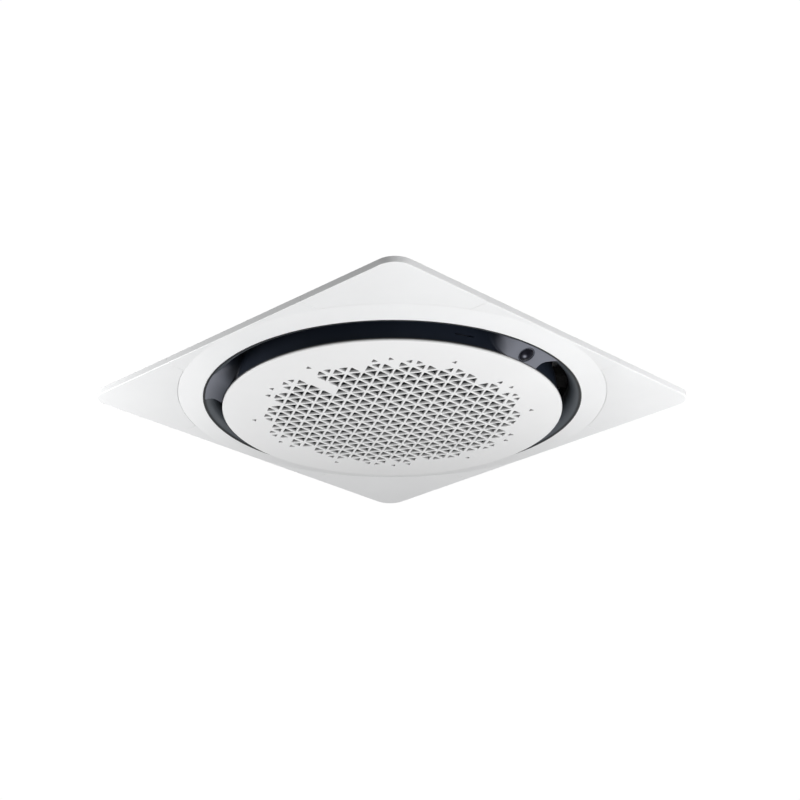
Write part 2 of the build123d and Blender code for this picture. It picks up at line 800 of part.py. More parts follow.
def bridge(angle, with_eye):
    """A hollow cover over the outlet slot, made at +X and turned to its angle."""
    half = BRIDGE_HALF_ANGLE
    solid = revolve_outline(bridge_outline(0), 2 * half, -half)
    hollow = revolve_outline(bridge_outline(BRIDGE_WALL), 2 * half, -half)
    for side in (-1, 1):
        solid -= slot_end(side * half, 0)
        hollow -= slot_end(side * half, BRIDGE_WALL)
    if with_eye:
        hollow -= eye_place(0) * Pos(0, 0, -EYE_DEPTH) * Cylinder(EYE_R + EYE_RIM, 2 * EYE_DEPTH)
        solid -= eye_place(0) * Pos(0, 0, -EYE_DEPTH / 2) * Cylinder(EYE_R, 2 * EYE_DEPTH)
    return Rot(0, 0, angle) * (solid - hollow)


# ================================================================ booster fans
def booster_housing(angle):
    x, y = polar(BOOST_CENTRE_R, angle)
    top = CORE_TOP - CORE_WALL
    wall = ring(BOOST_HOUSING_R, BOOST_HOUSING_R - BOOST_HOUSING_WALL, BOOST_HOUSING_BOTTOM, top)
    roof = ring(BOOST_HOUSING_R, BOOST_MOTOR_R, top - BOOST_HOUSING_WALL, top)
    return Pos(x, y, 0) * (wall + roof)


def booster_motor(angle):
    x, y = polar(BOOST_CENTRE_R, angle)
    top = CORE_TOP - CORE_WALL
    can = rod(BOOST_MOTOR_R, BOOST_MOTOR_BOTTOM, top)
    bore = rod(BOOST_SHAFT_R + MOTOR_BORE_CLEARANCE, BOOST_MOTOR_BOTTOM - 1, top - 2)
    return Pos(x, y, 0) * (can - bore)


def booster_impeller(angle):
    x, y = polar(BOOST_CENTRE_R, angle)
    top = BOOST_MOTOR_BOTTOM - 2
    bottom = top - BOOST_IMPELLER_HEIGHT
    wheel = rod(BOOST_IMPELLER_R, top - 1.5, top)
    wheel += rod(BOOST_SHAFT_R + 3, bottom + 2, top)
    wheel += rod(BOOST_SHAFT_R, top, CORE_TOP - CORE_WALL - 3)
    wheel += ring(BOOST_IMPELLER_R, BOOST_IMPELLER_R - 2.5, bottom, bottom + 1.5)
    for k in range(BOOST_BLADES):
        blade = block(BOOST_IMPELLER_R - 6, BOOST_IMPELLER_R - 0.5, -0.6, 0.6, bottom, top)
        wheel += Rot(0, 0, 360 * k / BOOST_BLADES) * blade
    return Pos(x, y, 0) * wheel


# ================================================================ sensor eye
def eye_lens():
    place = eye_place(BRIDGE_ANGLES[0])
    ball_r = (LENS_R ** 2 + LENS_RISE ** 2) / (2 * LENS_RISE)
    ball = Pos(0, 0, LENS_RISE - ball_r) * Sphere(ball_r)
    cap = ball & (Pos(0, 0, LENS_RISE / 2) * Cylinder(LENS_R, LENS_RISE))
    seat = Pos(0, 0, -1) * Cylinder(EYE_R, 2)
    return place * Pos(0, 0, -EYE_DEPTH / 2 + 2) * (cap + seat)


def eye_board():
    place = eye_place(BRIDGE_ANGLES[0])
    back = -EYE_DEPTH / 2 - BOARD_THICKNESS / 2
    return place * Pos(0, 0, back) * Box(EYE_BOARD * 0.8, EYE_BOARD * 0.8, BOARD_THICKNESS)


# ================================================================ casing
def prism(corners, bottom, top):
    """An upright prism over a closed outline."""
    face = make_face(Polyline(*corners, close=True))
    return Pos(0, 0, bottom) * extrude(face, amount=top - bottom)


def casing_corners(inset):
    """The casing's eight corners in plan, with every wall set in by the same amount."""
    half = CASING_SIDE / 2 - inset
    near = half - CASING_CUT + inset * (2 - math.sqrt(2))
    return [
        (half, -near), (half, near), (near, half), (-near, half),
        (-half, near), (-half, -near), (-near, -half), (near, -half),
    ]


def inset_octagon(inset, bottom, top):
    return prism(casing_corners(inset), bottom, top)


def corner_distance():
    """From the middle to the outer face of a cut corner."""
    return (CASING_SIDE - CASING_CUT) / math.sqrt(2)


def lid_z():
    """Underside of the casing's lid."""
    return CASING_TOP - LID_RIB_HEIGHT - SHEET


def side_holes(shape):
    """Cut what passes through the casing's -X side."""
    start = -CASING_SIDE / 2 - 5
    end = -CASING_SIDE / 2 + 40
    shape -= rod_x(GAS_PIPE_R + PIPE_HOLE_CLEARANCE, start, end, GAS_PIPE_Y, GAS_PIPE_Z)
    shape -= rod_x(LIQUID_PIPE_R + PIPE_HOLE_CLEARANCE, start, end, LIQUID_PIPE_Y, LIQUID_PIPE_Z)
    shape -= rod_x(SPIGOT_NECK_R + FIT_GAP, start, end, PUMP_Y, SPIGOT_Z)
    shape -= rod_x(GLAND_R, start, end, GLAND_Y, GLAND_Z)
    return shape


def casing_walls():
    """Eight flat sheets, mitred where they meet; the -X one has the holes."""
    outer = casing_corners(0)
    inner = casing_corners(SHEET)
    sheets = []
    for k in range(8):
        following = (k + 1) % 8
        plan = [outer[k], outer[following], inner[following], inner[k]]
        sheets.append(side_holes(prism(plan, CASING_BOTTOM, lid_z())))
    return sheets


def casing_lid():
    lid = inset_octagon(-SHEET, lid_z() - LID_SKIRT, lid_z() + SHEET)
    lid -= inset_octagon(0, 0, lid_z())
    length = CASING_SIDE / 2 - CASING_CUT
    for angle in (0, 90, 180, 270):
        rib = block(
            LID_RIB_START, LID_RIB_START + length, -LID_RIB_WIDTH / 2, LID_RIB_WIDTH / 2,
            lid_z() + SHEET / 2, CASING_TOP,
        )
        rib = Rot(0, 0, angle) * chamfer(rib.faces().sort_by(Axis.Z)[-1].edges(), LID_RIB_HEIGHT * 0.8)
        lid += rib
    for angle in motor_ear_angles():
        x, y = polar(MOTOR_EAR_R, angle)
        lid -= rod(MOUNT_SCREW_R, lid_z() - 1, CASING_TOP + 1, x, y)
    return lid


def hanger_bracket(angle):
    """A corner bracket: back plate, slotted top lug and foot for the panel screw."""
    face = corner_distance()
    half = HANGER_WIDTH / 2
    slot_distance = HANGER_SPACING / math.sqrt(2)
    tip = slot_distance + HANGER_TIP
    lug_z = HANGER_HEIGHT - HANGER_THICKNESS / 2
    back = block(face, face + HANGER_THICKNESS, -half, half, FOOT_HEIGHT, HANGER_PLATE_TOP)
    lug = block(face, tip, -half, half, lug_z, lug_z + HANGER_THICKNESS)
    foot = block(face, face + FOOT_LENGTH, -half, half, FOOT_HEIGHT, FOOT_HEIGHT + HANGER_THICKNESS)
    for side in (-1, 1):
        y = side * (half - HANGER_THICKNESS / 2)
        gusset = make_face(Plane.XZ * Polyline(
            (face, lug_z + HANGER_THICKNESS / 2), (tip - HANGER_TIP / 2, lug_z + HANGER_THICKNESS / 2),
            (face, lug_z - HANGER_WIDTH), close=True,
        ))
        back += Pos(0, y + HANGER_THICKNESS / 2, 0) * extrude(gusset, amount=HANGER_THICKNESS)
    foot -= rod(PANEL_SCREW_R + THREAD_CLEARANCE, 0, CASING_TOP, PANEL_SCREW_DIAGONAL, 0)
    bracket = Rot(0, 0, angle) * (back + lug + foot)
    x, y = polar(slot_distance, angle)
    slot = Pos(x, y, lug_z - 1) * extrude(
        SlotOverall(HANGER_SLOT_LENGTH, 2 * HANGER_SLOT_R), amount=HANGER_THICKNESS + 2
    )
    return bracket - slot


def panel_screw(angle):
    x, y = polar(PANEL_SCREW_DIAGONAL, angle)
    head = rod(PANEL_SCREW_HEAD_R, -TRAY_DEPTH - PANEL_SCREW_HEAD, -TRAY_DEPTH)
    shank = rod(PANEL_SCREW_R, -TRAY_DEPTH, FOOT_HEIGHT + HANGER_THICKNESS + 2)
    return Pos(x, y, 0) * (head + shank)


# ================================================================ insulation and seals
def pan_arm(angle, width, reach, bottom, top, clearance=0.0):
    half = width / 2 + clearance
    arm = block(PAN_ARM_START, reach + clearance, -half, half, bottom - clearance, top + clearance)
    return Rot(0, 0, angle) * arm


def liner():
    body = inset_octagon(SHEET + FIT_GAP, LINER_BOTTOM, lid_z() - FIT_GAP)
    body -= turned([
        (0, LINER_BOTTOM - 1),
        (LINER_NECK_R, LINER_BOTTOM - 1),
        (LINER_NECK_R, LINER_NECK_TOP),
        (LINER_BORE_R, LINER_CONE_TOP),
        (LINER_BORE_R, LINER_ROOF),
        (0, LINER_ROOF),
    ])
    body -= rod(LINER_MOTOR_HOLE_R, LINER_ROOF - 1, CASING_TOP)
    for angle in (45, -45, -135):
        body -= pan_arm(angle, PAN_ARM_WIDTH, PAN_ARM_REACH, LINER_BOTTOM - 5, PAN_ARM_TOP, FIT_GAP)
    body -= pan_arm(135, SUMP_ARM_WIDTH, PAN_ARM_REACH, LINER_BOTTOM - 5, PAN_ARM_TOP, FIT_GAP)
    pump_room = PUMP_BODY_R + POCKET_CLEARANCE
    body -= rod(pump_room, PAN_ARM_TOP - 1, PUMP_BODY_TOP + POCKET_CLEARANCE, PUMP_X, PUMP_Y)
    body -= rod(FLOAT_R + POCKET_CLEARANCE, PAN_ARM_TOP - 1, FLOAT_STEM_TOP, FLOAT_X, FLOAT_Y)
    body -= rod_x(SPIGOT_NECK_R + FIT_GAP, -CASING_SIDE / 2, PUMP_X, PUMP_Y, SPIGOT_Z)
    return side_holes(body)


def outlet_seal():
    return ring(THROAT_R + SEAL_WIDTH + 4, THROAT_R + 4, OUTLET_TOP, LINER_BOTTOM)


def intake_seal():
    return ring(CORE_INNER_R + SEAL_WIDTH, CORE_INNER_R, CORE_TOP, BELL_FLANGE_Z)


# ================================================================ bell mouth and drain pan
def bell_mouth():
    flange_inner = BELL_THROAT_R + BELL_CURVE_R
    top = BELL_FLANGE_Z + BELL_CURVE_R
    half = math.sqrt(0.5)
    outer = BELL_CURVE_R
    inner = BELL_CURVE_R - BELL_THICKNESS
    upper_z = BELL_FLANGE_Z + BELL_THICKNESS
    return revolve_outline([
        ((BELL_FLANGE_R, BELL_FLANGE_Z), (flange_inner, BELL_FLANGE_Z)),
        (
            (flange_inner, BELL_FLANGE_Z),
            (flange_inner - outer * half, top - outer * half),
            (BELL_THROAT_R, top),
        ),
        ((BELL_THROAT_R, top), (BELL_THROAT_R + BELL_THICKNESS, top)),
        (
            (BELL_THROAT_R + BELL_THICKNESS, top),
            (flange_inner - inner * half, top - inner * half),
            (flange_inner, upper_z),
        ),
        ((flange_inner, upper_z), (BELL_FLANGE_R, upper_z)),
        ((BELL_FLANGE_R, upper_z), (BELL_FLANGE_R, BELL_FLANGE_Z)),
    ])


def drain_pan():
    pan = ring(PAN_OUTER_R, PAN_INNER_R, PAN_BOTTOM, PAN_TOP)
    for angle in (45, -45, -135):
        pan += pan_arm(angle, PAN_ARM_WIDTH, PAN_ARM_REACH, PAN_BOTTOM, PAN_ARM_TOP)
    pan += pan_arm(135, SUMP_ARM_WIDTH, PAN_ARM_REACH, PAN_BOTTOM, PAN_ARM_TOP)
    pan -= ring(TROUGH_OUTER_R, TROUGH_INNER_R, TROUGH_FLOOR, PAN_TOP + 1)
    channel = block(
        (TROUGH_INNER_R + TROUGH_OUTER_R) / 2, SUMP_REACH, -SUMP_WIDTH / 2, SUMP_WIDTH / 2,
        TROUGH_FLOOR, PAN_TOP + 1,
    )
    return pan - Rot(0, 0, 135) * channel


# ================================================================ drain pump, float, spigot
def pump_body():
    shell = rod(PUMP_BODY_R, PUMP_BODY_BOTTOM, PUMP_BODY_TOP)
    shell += rod(PUMP_INLET_R, PUMP_INLET_BOTTOM, PUMP_BODY_BOTTOM)
    chamber_top = PUMP_BODY_BOTTOM + PUMP_WHEEL_HEIGHT + 4 * PUMP_WALL
    shell -= rod(PUMP_BODY_R - PUMP_WALL, PUMP_BODY_BOTTOM + PUMP_WALL, chamber_top)
    shell -= rod(PUMP_INLET_R - PUMP_WALL, PUMP_INLET_BOTTOM - 1, PUMP_BODY_BOTTOM + 2 * PUMP_WALL)
    shell -= rod(PUMP_SHAFT_R + MOTOR_BORE_CLEARANCE, chamber_top - 1, PUMP_BODY_TOP - 2 * PUMP_WALL)
    port = rod_x(SPIGOT_NECK_R - SPIGOT_WALL, -PUMP_BODY_R - 1, -PUMP_BODY_R / 2, 0, SPIGOT_Z)
    return Pos(PUMP_X, PUMP_Y, 0) * (shell - port)


def pump_impeller():
    bottom = PUMP_BODY_BOTTOM + 2 * PUMP_WALL
    top = bottom + PUMP_WHEEL_HEIGHT
    wheel = rod(PUMP_WHEEL_R, top - 2, top)
    wheel += rod(PUMP_SHAFT_R + 3, bottom, top)
    wheel += rod(PUMP_SHAFT_R, top, PUMP_BODY_TOP - 3 * PUMP_WALL)
    for k in range(4):
        blade = block(PUMP_SHAFT_R + 1, PUMP_WHEEL_R - 0.5, -1, 1, bottom, top)
        wheel += Rot(0, 0, 90 * k) * blade
    return Pos(PUMP_X, PUMP_Y, 0) * wheel


def drain_spigot():
    """A neck from the pump through the wall, a collar outside it, and the hose's stub."""
    start = PUMP_X - math.sqrt(PUMP_BODY_R ** 2 - SPIGOT_NECK_R ** 2)
    wall = -CASING_SIDE / 2
    tube = rod_x(SPIGOT_NECK_R, SPIGOT_END, start, PUMP_Y, SPIGOT_Z)
    tube += rod_x(SPIGOT_R, SPIGOT_END, SPIGOT_STUB_START, PUMP_Y, SPIGOT_Z)
    tube += rod_x(SPIGOT_COLLAR_R, wall - SPIGOT_COLLAR, wall, PUMP_Y, SPIGOT_Z)
    tube -= rod_x(SPIGOT_NECK_R - SPIGOT_WALL, SPIGOT_END - 1, start + 1, PUMP_Y, SPIGOT_Z)
    return tube - rod(PUMP_BODY_R, 0, CASING_TOP, PUMP_X, PUMP_Y)


def float_stem():
    stem = rod(FLOAT_STEM_R, TROUGH_FLOOR, FLOAT_STEM_TOP - 4)
    stem += rod(FLOAT_STOP_R, TROUGH_FLOOR, FLOAT_BOTTOM - FIT_GAP)
    stop = FLOAT_BOTTOM + FLOAT_HEIGHT + FLOAT_TRAVEL + FIT_GAP
    stem += rod(FLOAT_STOP_R, stop, stop + 3)
    stem += rod(FLOAT_R + POCKET_CLEARANCE, FLOAT_STEM_TOP - 4, FLOAT_STEM_TOP)
    return Pos(FLOAT_X, FLOAT_Y, 0) * stem


def float_ring():
    body = ring(FLOAT_R, FLOAT_STEM_R + FIT_GAP, FLOAT_BOTTOM, FLOAT_BOTTOM + FLOAT_HEIGHT)
    return Pos(FLOAT_X, FLOAT_Y, 0) * body


# ================================================================ heat exchanger
def coil_arc():
    """Start angle and sweep of the coil, open towards -X."""
    return -180 + COIL_GAP_HALF, 360 - 2 * COIL_GAP_HALF


def tube_heights():
    return [TUBE_FIRST_Z + TUBE_ROW_PITCH * k for k in range(TUBE_ROWS)]


def round_section(radius, z, tube_r, margin_angle=0.0):
    """A round tube bent along the coil's arc, longer at both ends by margin_angle."""
    start, sweep = coil_arc()
    face = Plane.XZ * Pos(radius, z) * Circle(tube_r)
    bent = revolve(face, axis=Axis.Z, revolution_arc=sweep + 2 * margin_angle)
    return Rot(0, 0, start - margin_angle) * bent


def coil_fins():
    start, sweep = coil_arc()
    fins = turned([
        (COIL_INNER_R, COIL_BOTTOM), (COIL_OUTER_R, COIL_BOTTOM),
        (COIL_OUTER_R, COIL_TOP), (COIL_INNER_R, COIL_TOP),
    ], sweep, start)
    for radius in (TUBE_INNER_R, TUBE_OUTER_R):
        for z in tube_heights():
            fins -= round_section(radius, z, TUBE_R + TUBE_CLEARANCE)
    grooves = []
    for k in range(COIL_GROOVES):
        angle = start + sweep * (k + 0.5) / COIL_GROOVES
        groove = block(
            COIL_OUTER_R - COIL_GROOVE_DEPTH, COIL_OUTER_R + 2,
            -COIL_GROOVE_WIDTH / 2, COIL_GROOVE_WIDTH / 2, COIL_BOTTOM - 1, COIL_TOP + 1,
        )
        grooves.append(Rot(0, 0, angle) * groove)
    return fins - grooves


def coil_end_plates():
    start, sweep = coil_arc()
    plates = []
    for angle, side in ((start, -1), (start + sweep, 1)):
        y0 = min(0, side * COIL_END_PLATE)
        y1 = max(0, side * COIL_END_PLATE)
        plate = block(COIL_INNER_R, COIL_OUTER_R, y0, y1, COIL_BOTTOM, COIL_TOP)
        for radius in (TUBE_INNER_R, TUBE_OUTER_R):
            for z in tube_heights():
                plate -= Pos(radius, 0, z) * Rot(90, 0, 0) * Cylinder(TUBE_R + TUBE_CLEARANCE, 8)
        plates.append(Rot(0, 0, angle) * plate)
    return plates


def return_bend(radius, angle, side, low_z, high_z):
    """A half ring that joins two tubes beyond an end plate."""
    middle = (low_z + high_z) / 2
    face = Plane.XZ * Pos(radius, high_z) * Circle(TUBE_R)
    axis = Axis((0, 0, middle), (1, 0, 0))
    arc = 180 if side > 0 else -180
    return Rot(0, 0, angle) * revolve(face, axis=axis, revolution_arc=arc)


def coil_tubes():
    start, sweep = coil_arc()
    heights = tube_heights()
    tubes = []
    for radius in (TUBE_INNER_R, TUBE_OUTER_R):
        tubes += [round_section(radius, z, TUBE_R) for z in heights]
        for k in range(0, TUBE_ROWS - 1, 2):
            tubes.append(return_bend(radius, start + sweep, -1, heights[k], heights[k + 1]))
        for k in range(1, TUBE_ROWS - 1, 2):
            tubes.append(return_bend(radius, start, 1, heights[k], heights[k + 1]))
    return tubes


# ================================================================ refrigerant pipes
def pipe(radius, y, z, header_low, header_high):
    """A header along the coil's gap, with a branch out to a union's stub at the -X side."""
    outer = rod(radius, header_low, header_high, PIPE_HEADER_X, y)
    outer += rod_x(radius - PIPE_END_STEP, PIPE_END_X, PIPE_HEADER_X, y, z)
    outer += rod_x(radius, PIPE_END_X, PIPE_END_X + PIPE_END_LENGTH, y, z)
    bore = rod(radius - PIPE_WALL, header_low + PIPE_WALL, header_high - PIPE_WALL, PIPE_HEADER_X, y)
    bore += rod_x(radius - PIPE_WALL, PIPE_END_X - 1, PIPE_HEADER_X, y, z)
    return outer - bore


def flare_nut(radius, y, z, flats):
    hexagon = RegularPolygon(flats / math.sqrt(3), 6)
    nut = Pos(FLARE_NUT_START - FLARE_NUT_LENGTH, y, z) * Rot(0, 90, 0) * extrude(
        hexagon, amount=FLARE_NUT_LENGTH
    )
    return nut - rod_x(radius - PIPE_END_STEP, PIPE_END_X, 0, y, z)


def pipe_plate():
    wall = -CASING_SIDE / 2
    plate = block(
        wall - 1.5, wall, -PIPE_PLATE_WIDTH / 2, PIPE_PLATE_WIDTH / 2,
        PIPE_PLATE_Z - PIPE_PLATE_HEIGHT / 2, PIPE_PLATE_Z + PIPE_PLATE_HEIGHT / 2,
    )
    plate -= rod_x(GAS_PIPE_R + FIT_GAP, wall - 5, wall + 5, GAS_PIPE_Y, GAS_PIPE_Z)
    plate -= rod_x(LIQUID_PIPE_R + FIT_GAP, wall - 5, wall + 5, LIQUID_PIPE_Y, LIQUID_PIPE_Z)
    return plate


def cable_gland():
    wall = -CASING_SIDE / 2
    gland = rod_x(GLAND_R, wall - GLAND_OUTSIDE, wall + GLAND_INSIDE, GLAND_Y, GLAND_Z)
    gland += rod_x(GLAND_FLANGE_R, wall - 4, wall, GLAND_Y, GLAND_Z)
    return gland - rod_x(GLAND_BORE_R, wall - GLAND_OUTSIDE - 1, wall + GLAND_INSIDE + 1, GLAND_Y, GLAND_Z)


# ================================================================ turbo fan and motor
def fan_blade(angle):
    """One backward curved blade, standing between the shroud and the back plate."""
    root = polar(FAN_BLADE_ROOT_R, 0)
    tip = polar(FAN_R - 3, -FAN_BLADE_SWEEP)
    middle_x = (root[0] + tip[0]) / 2
    middle_y = (root[1] + tip[1]) / 2
    length = math.hypot(tip[0] - root[0], tip[1] - root[1])
    out_x = -(tip[1] - root[1]) / length
    out_y = (tip[0] - root[0]) / length
    half = FAN_BLADE_THICKNESS / 2
    front = (middle_x + out_x * (FAN_BLADE_BOW + half), middle_y + out_y * (FAN_BLADE_BOW + half))
    back = (middle_x + out_x * (FAN_BLADE_BOW - half), middle_y + out_y * (FAN_BLADE_BOW - half))
    face = make_face([ThreePointArc(root, front, tip), ThreePointArc(tip, back, root)])
    blade = Pos(0, 0, FAN_INLET_BOTTOM) * extrude(face, amount=FAN_TOP - FAN_INLET_BOTTOM)
    return Rot(0, 0, angle) * blade


def shroud_outline(lift):
    """Three points of the shroud's curve, from its inlet to its outer edge."""
    rise = FAN_SHROUD_EDGE_Z - FAN_INLET_BOTTOM
    return (
        (FAN_INLET_R + lift / 3, FAN_INLET_BOTTOM + 10 + lift),
        (FAN_INLET_R + (FAN_R - FAN_INLET_R) * 0.4, FAN_INLET_BOTTOM + rise * 0.72 + lift),
        (FAN_R, FAN_SHROUD_EDGE_Z + lift),
    )


def turbo_fan():
    low = shroud_outline(0)
    high = shroud_outline(FAN_SHROUD_WALL)
    shroud = revolve_outline([
        ((FAN_INLET_R, FAN_INLET_BOTTOM), low[0]),
        low,
        (low[2], high[2]),
        (high[2], high[1], high[0]),
        (high[0], (FAN_INLET_R - FAN_SHROUD_WALL, high[0][1])),
        ((FAN_INLET_R - FAN_SHROUD_WALL, high[0][1]), (FAN_INLET_R - FAN_SHROUD_WALL, FAN_INLET_BOTTOM)),
        ((FAN_INLET_R - FAN_SHROUD_WALL, FAN_INLET_BOTTOM), (FAN_INLET_R, FAN_INLET_BOTTOM)),
    ])
    back = turned([
        (FAN_R, FAN_TOP), (FAN_HUB_R, FAN_TOP), (FAN_BOWL_R, FAN_BOSS_TOP), (MOTOR_SHAFT_R, FAN_BOSS_TOP),
        (MOTOR_SHAFT_R, FAN_BOSS_BOTTOM), (FAN_BOSS_R, FAN_BOSS_BOTTOM),
        (FAN_BOSS_R, FAN_BOSS_TOP - FAN_PLATE), (FAN_BOWL_R + FAN_PLATE / 2, FAN_BOSS_TOP - FAN_PLATE),
        (FAN_HUB_R + FAN_PLATE, FAN_TOP - FAN_PLATE), (FAN_R, FAN_TOP - FAN_PLATE),
    ])
    room = revolve_outline([
        ((FAN_BLADE_ROOT_R - 1, FAN_TOP - FAN_PLATE / 2), (FAN_R, FAN_TOP - FAN_PLATE / 2)),
        ((FAN_R, FAN_TOP - FAN_PLATE / 2), (FAN_R, FAN_SHROUD_EDGE_Z + FAN_SHROUD_WALL / 2)),
        tuple((r, z + FAN_SHROUD_WALL / 2) for r, z in reversed(low)),
        (
            (low[0][0], low[0][1] + FAN_SHROUD_WALL / 2),
            (FAN_BLADE_ROOT_R - 1, FAN_TOP - FAN_PLATE / 2),
        ),
    ])
    fan = shroud + back
    for k in range(FAN_BLADES):
        fan += fan_blade(360 * k / FAN_BLADES) & room
    return fan


def motor_ear_angles():
    return [90 + 360 * k / MOTOR_EARS for k in range(MOTOR_EARS)]


def fan_motor():
    can = rod(MOTOR_R, MOTOR_BOTTOM, MOTOR_TOP)
    can = fillet(can.edges().filter_by(GeomType.CIRCLE), 6)
    flange_z = MOTOR_TOP - MOTOR_FLANGE_THICKNESS
    for angle in motor_ear_angles():
        x, y = polar(MOTOR_EAR_R, angle)
        ear = rod(MOTOR_EAR_PAD_R, flange_z, MOTOR_TOP, x, y)
        arm = block(MOTOR_R - 10, MOTOR_EAR_R, -MOTOR_EAR_PAD_R, MOTOR_EAR_PAD_R, flange_z, MOTOR_TOP)
        can += ear + Rot(0, 0, angle) * arm
        can -= rod(MOUNT_SCREW_R, flange_z - 1, MOTOR_TOP + 1, x, y)
    bore = rod(MOTOR_SHAFT_R + MOTOR_BORE_CLEARANCE, MOTOR_BOTTOM - 1, MOTOR_TOP - 8)
    return can - bore


def motor_shaft():
    shaft = rod(MOTOR_SHAFT_R, MOTOR_SHAFT_BOTTOM, MOTOR_TOP - 10)
    return chamfer(shaft.edges().filter_by(GeomType.CIRCLE).sort_by(Axis.Z)[0], 0.8)


def motor_rubbers():
    rubbers = []
    for angle in motor_ear_angles():
        x, y = polar(MOTOR_EAR_R, angle)
        block_of_rubber = rod(MOUNT_RUBBER_R, MOTOR_TOP, lid_z(), x, y)
        rubbers.append(block_of_rubber - rod(MOUNT_SCREW_R, 0, CASING_TOP, x, y))
    return rubbers


def motor_screws():
    screws = []
    bottom = MOTOR_TOP - MOTOR_FLANGE_THICKNESS
    for angle in motor_ear_angles():
        x, y = polar(MOTOR_EAR_R, angle)
        head = rod(MOUNT_SCREW_HEAD_R, bottom - MOUNT_SCREW_HEAD, bottom, x, y)
        screws.append(head + rod(MOUNT_SCREW_R, bottom, lid_z() + SHEET, x, y))
    return screws


def fan_nut():
    hexagon = Pos(0, 0, FAN_BOSS_BOTTOM - NUT_HEIGHT) * extrude(
        RegularPolygon(NUT_FLATS / math.sqrt(3), 6), amount=NUT_HEIGHT
    )
    return hexagon - rod(MOTOR_SHAFT_R, 0, CASING_TOP)


# ================================================================ control box
def control_box():
    top = BELL_FLANGE_Z
    half = BOX_WIDTH / 2
    shell = block(-half, half, BOX_FAR_Y, BOX_NEAR_Y, BOX_BOTTOM, top)
    room = block(
        -half + BOX_WALL, half - BOX_WALL, BOX_FAR_Y + BOX_WALL, BOX_NEAR_Y - BOX_WALL,
        BOX_BOTTOM - 1, top - BOX_WALL,
    )
    post_y = (BOX_FAR_Y + BOX_NEAR_Y) / 2
    box = shell - room
    for sign in (-1, 1):
        x = sign * (half - BOX_WALL - 1.5 * BOX_SPACER_R)
        box += rod(BOX_SPACER_R, BOX_BOARD_Z + BOARD_THICKNESS, top - BOX_WALL, x, post_y)
    return box


def control_cover():
    half = BOX_WIDTH / 2
    plate = block(
        -half - BOX_WALL, half + BOX_WALL, BOX_FAR_Y - BOX_WALL, BOX_NEAR_Y + BOX_WALL,
        BOX_BOTTOM - BOX_WALL, BOX_BOTTOM + 6,
    )
    return plate - block(-half, half, BOX_FAR_Y, BOX_NEAR_Y, BOX_BOTTOM, BOX_BOTTOM + 7)


def circuit_board():
    half = BOX_WIDTH / 2 - BOX_WALL - 1
    board = block(
        -half, half, BOX_FAR_Y + BOX_BOARD_MARGIN, BOX_NEAR_Y - BOX_BOARD_MARGIN,
        BOX_BOARD_Z, BOX_BOARD_Z + BOARD_THICKNESS,
    )
    middle = (BOX_FAR_Y + BOX_NEAR_Y) / 2
    for x in CHIP_PLACES:
        board += block(
            x, x + CHIP_LENGTH, middle - CHIP_WIDTH / 2, middle + CHIP_WIDTH / 2,
            BOX_BOARD_Z - CHIP_HEIGHT, BOX_BOARD_Z,
        )
    return board


def terminal_block():
    x0 = BOX_WIDTH / 2 - BOX_WALL - 8 - TERMINAL_LENGTH
    middle = (BOX_FAR_Y + BOX_NEAR_Y) / 2
    strip = block(
        x0, x0 + TERMINAL_LENGTH, middle - TERMINAL_DEPTH / 2, middle + TERMINAL_DEPTH / 2,
        BOX_BOARD_Z - TERMINAL_HEIGHT, BOX_BOARD_Z,
    )
    pitch = TERMINAL_LENGTH / TERMINAL_WAYS
    face = BOX_BOARD_Z - TERMINAL_HEIGHT
    for k in range(TERMINAL_WAYS):
        strip -= rod(TERMINAL_HOLE_R, face - 1, face + TERMINAL_HOLE, x0 + pitch * (k + 0.5), middle)
    return strip


# ================================================================ write the pieces
def write_panel():
    write("panel_frame", panel_frame())
    names = {(1, 1): "right_back", (1, -1): "right_front", (-1, 1): "left_back", (-1, -1): "left_front"}
    for (sign_x, sign_y), name in names.items():
        write(f"corner_cover_{name}", corner_cover(sign_x, sign_y))
    write("outlet_ring", outlet_ring())
    write("core_ring", core_ring())
    write_group("hinge_pins", [hinge_pin(-1), hinge_pin(1)])
    for number, angle in enumerate(BRIDGE_ANGLES, 1):
        write(f"bridge_{number}", bridge(angle, number == 1))
    write("sensor_lens", eye_lens())
    write("sensor_board", eye_board())
    write("intake_grille", intake_grille())
    write("filter_frame", filter_frame())
    write("filter_mesh", filter_mesh())
    write("grille_latch_left", grille_latch(-1))
    write("grille_latch_right", grille_latch(1))
    write_group("panel_screws", [panel_screw(45 + 90 * k) for k in range(4)])


def write_boosters():
    write_group("booster_housings", [booster_housing(angle) for angle in BOOST_ANGLES])
    for number, angle in enumerate(BOOST_ANGLES, 1):
        write(f"booster_motor_{number}", booster_motor(angle))
        write(f"booster_impeller_{number}", booster_impeller(angle))


def write_casing():
    write_group("casing_walls", casing_walls())
    write("casing_lid", casing_lid())
    write("insulation_liner", liner())
    write("outlet_seal", outlet_seal())
    write("intake_seal", intake_seal())
    for number in range(4):
        write(f"hanger_bracket_{number + 1}", hanger_bracket(45 + 90 * number))
    write("pipe_plate", pipe_plate())
    write("cable_gland", cable_gland())


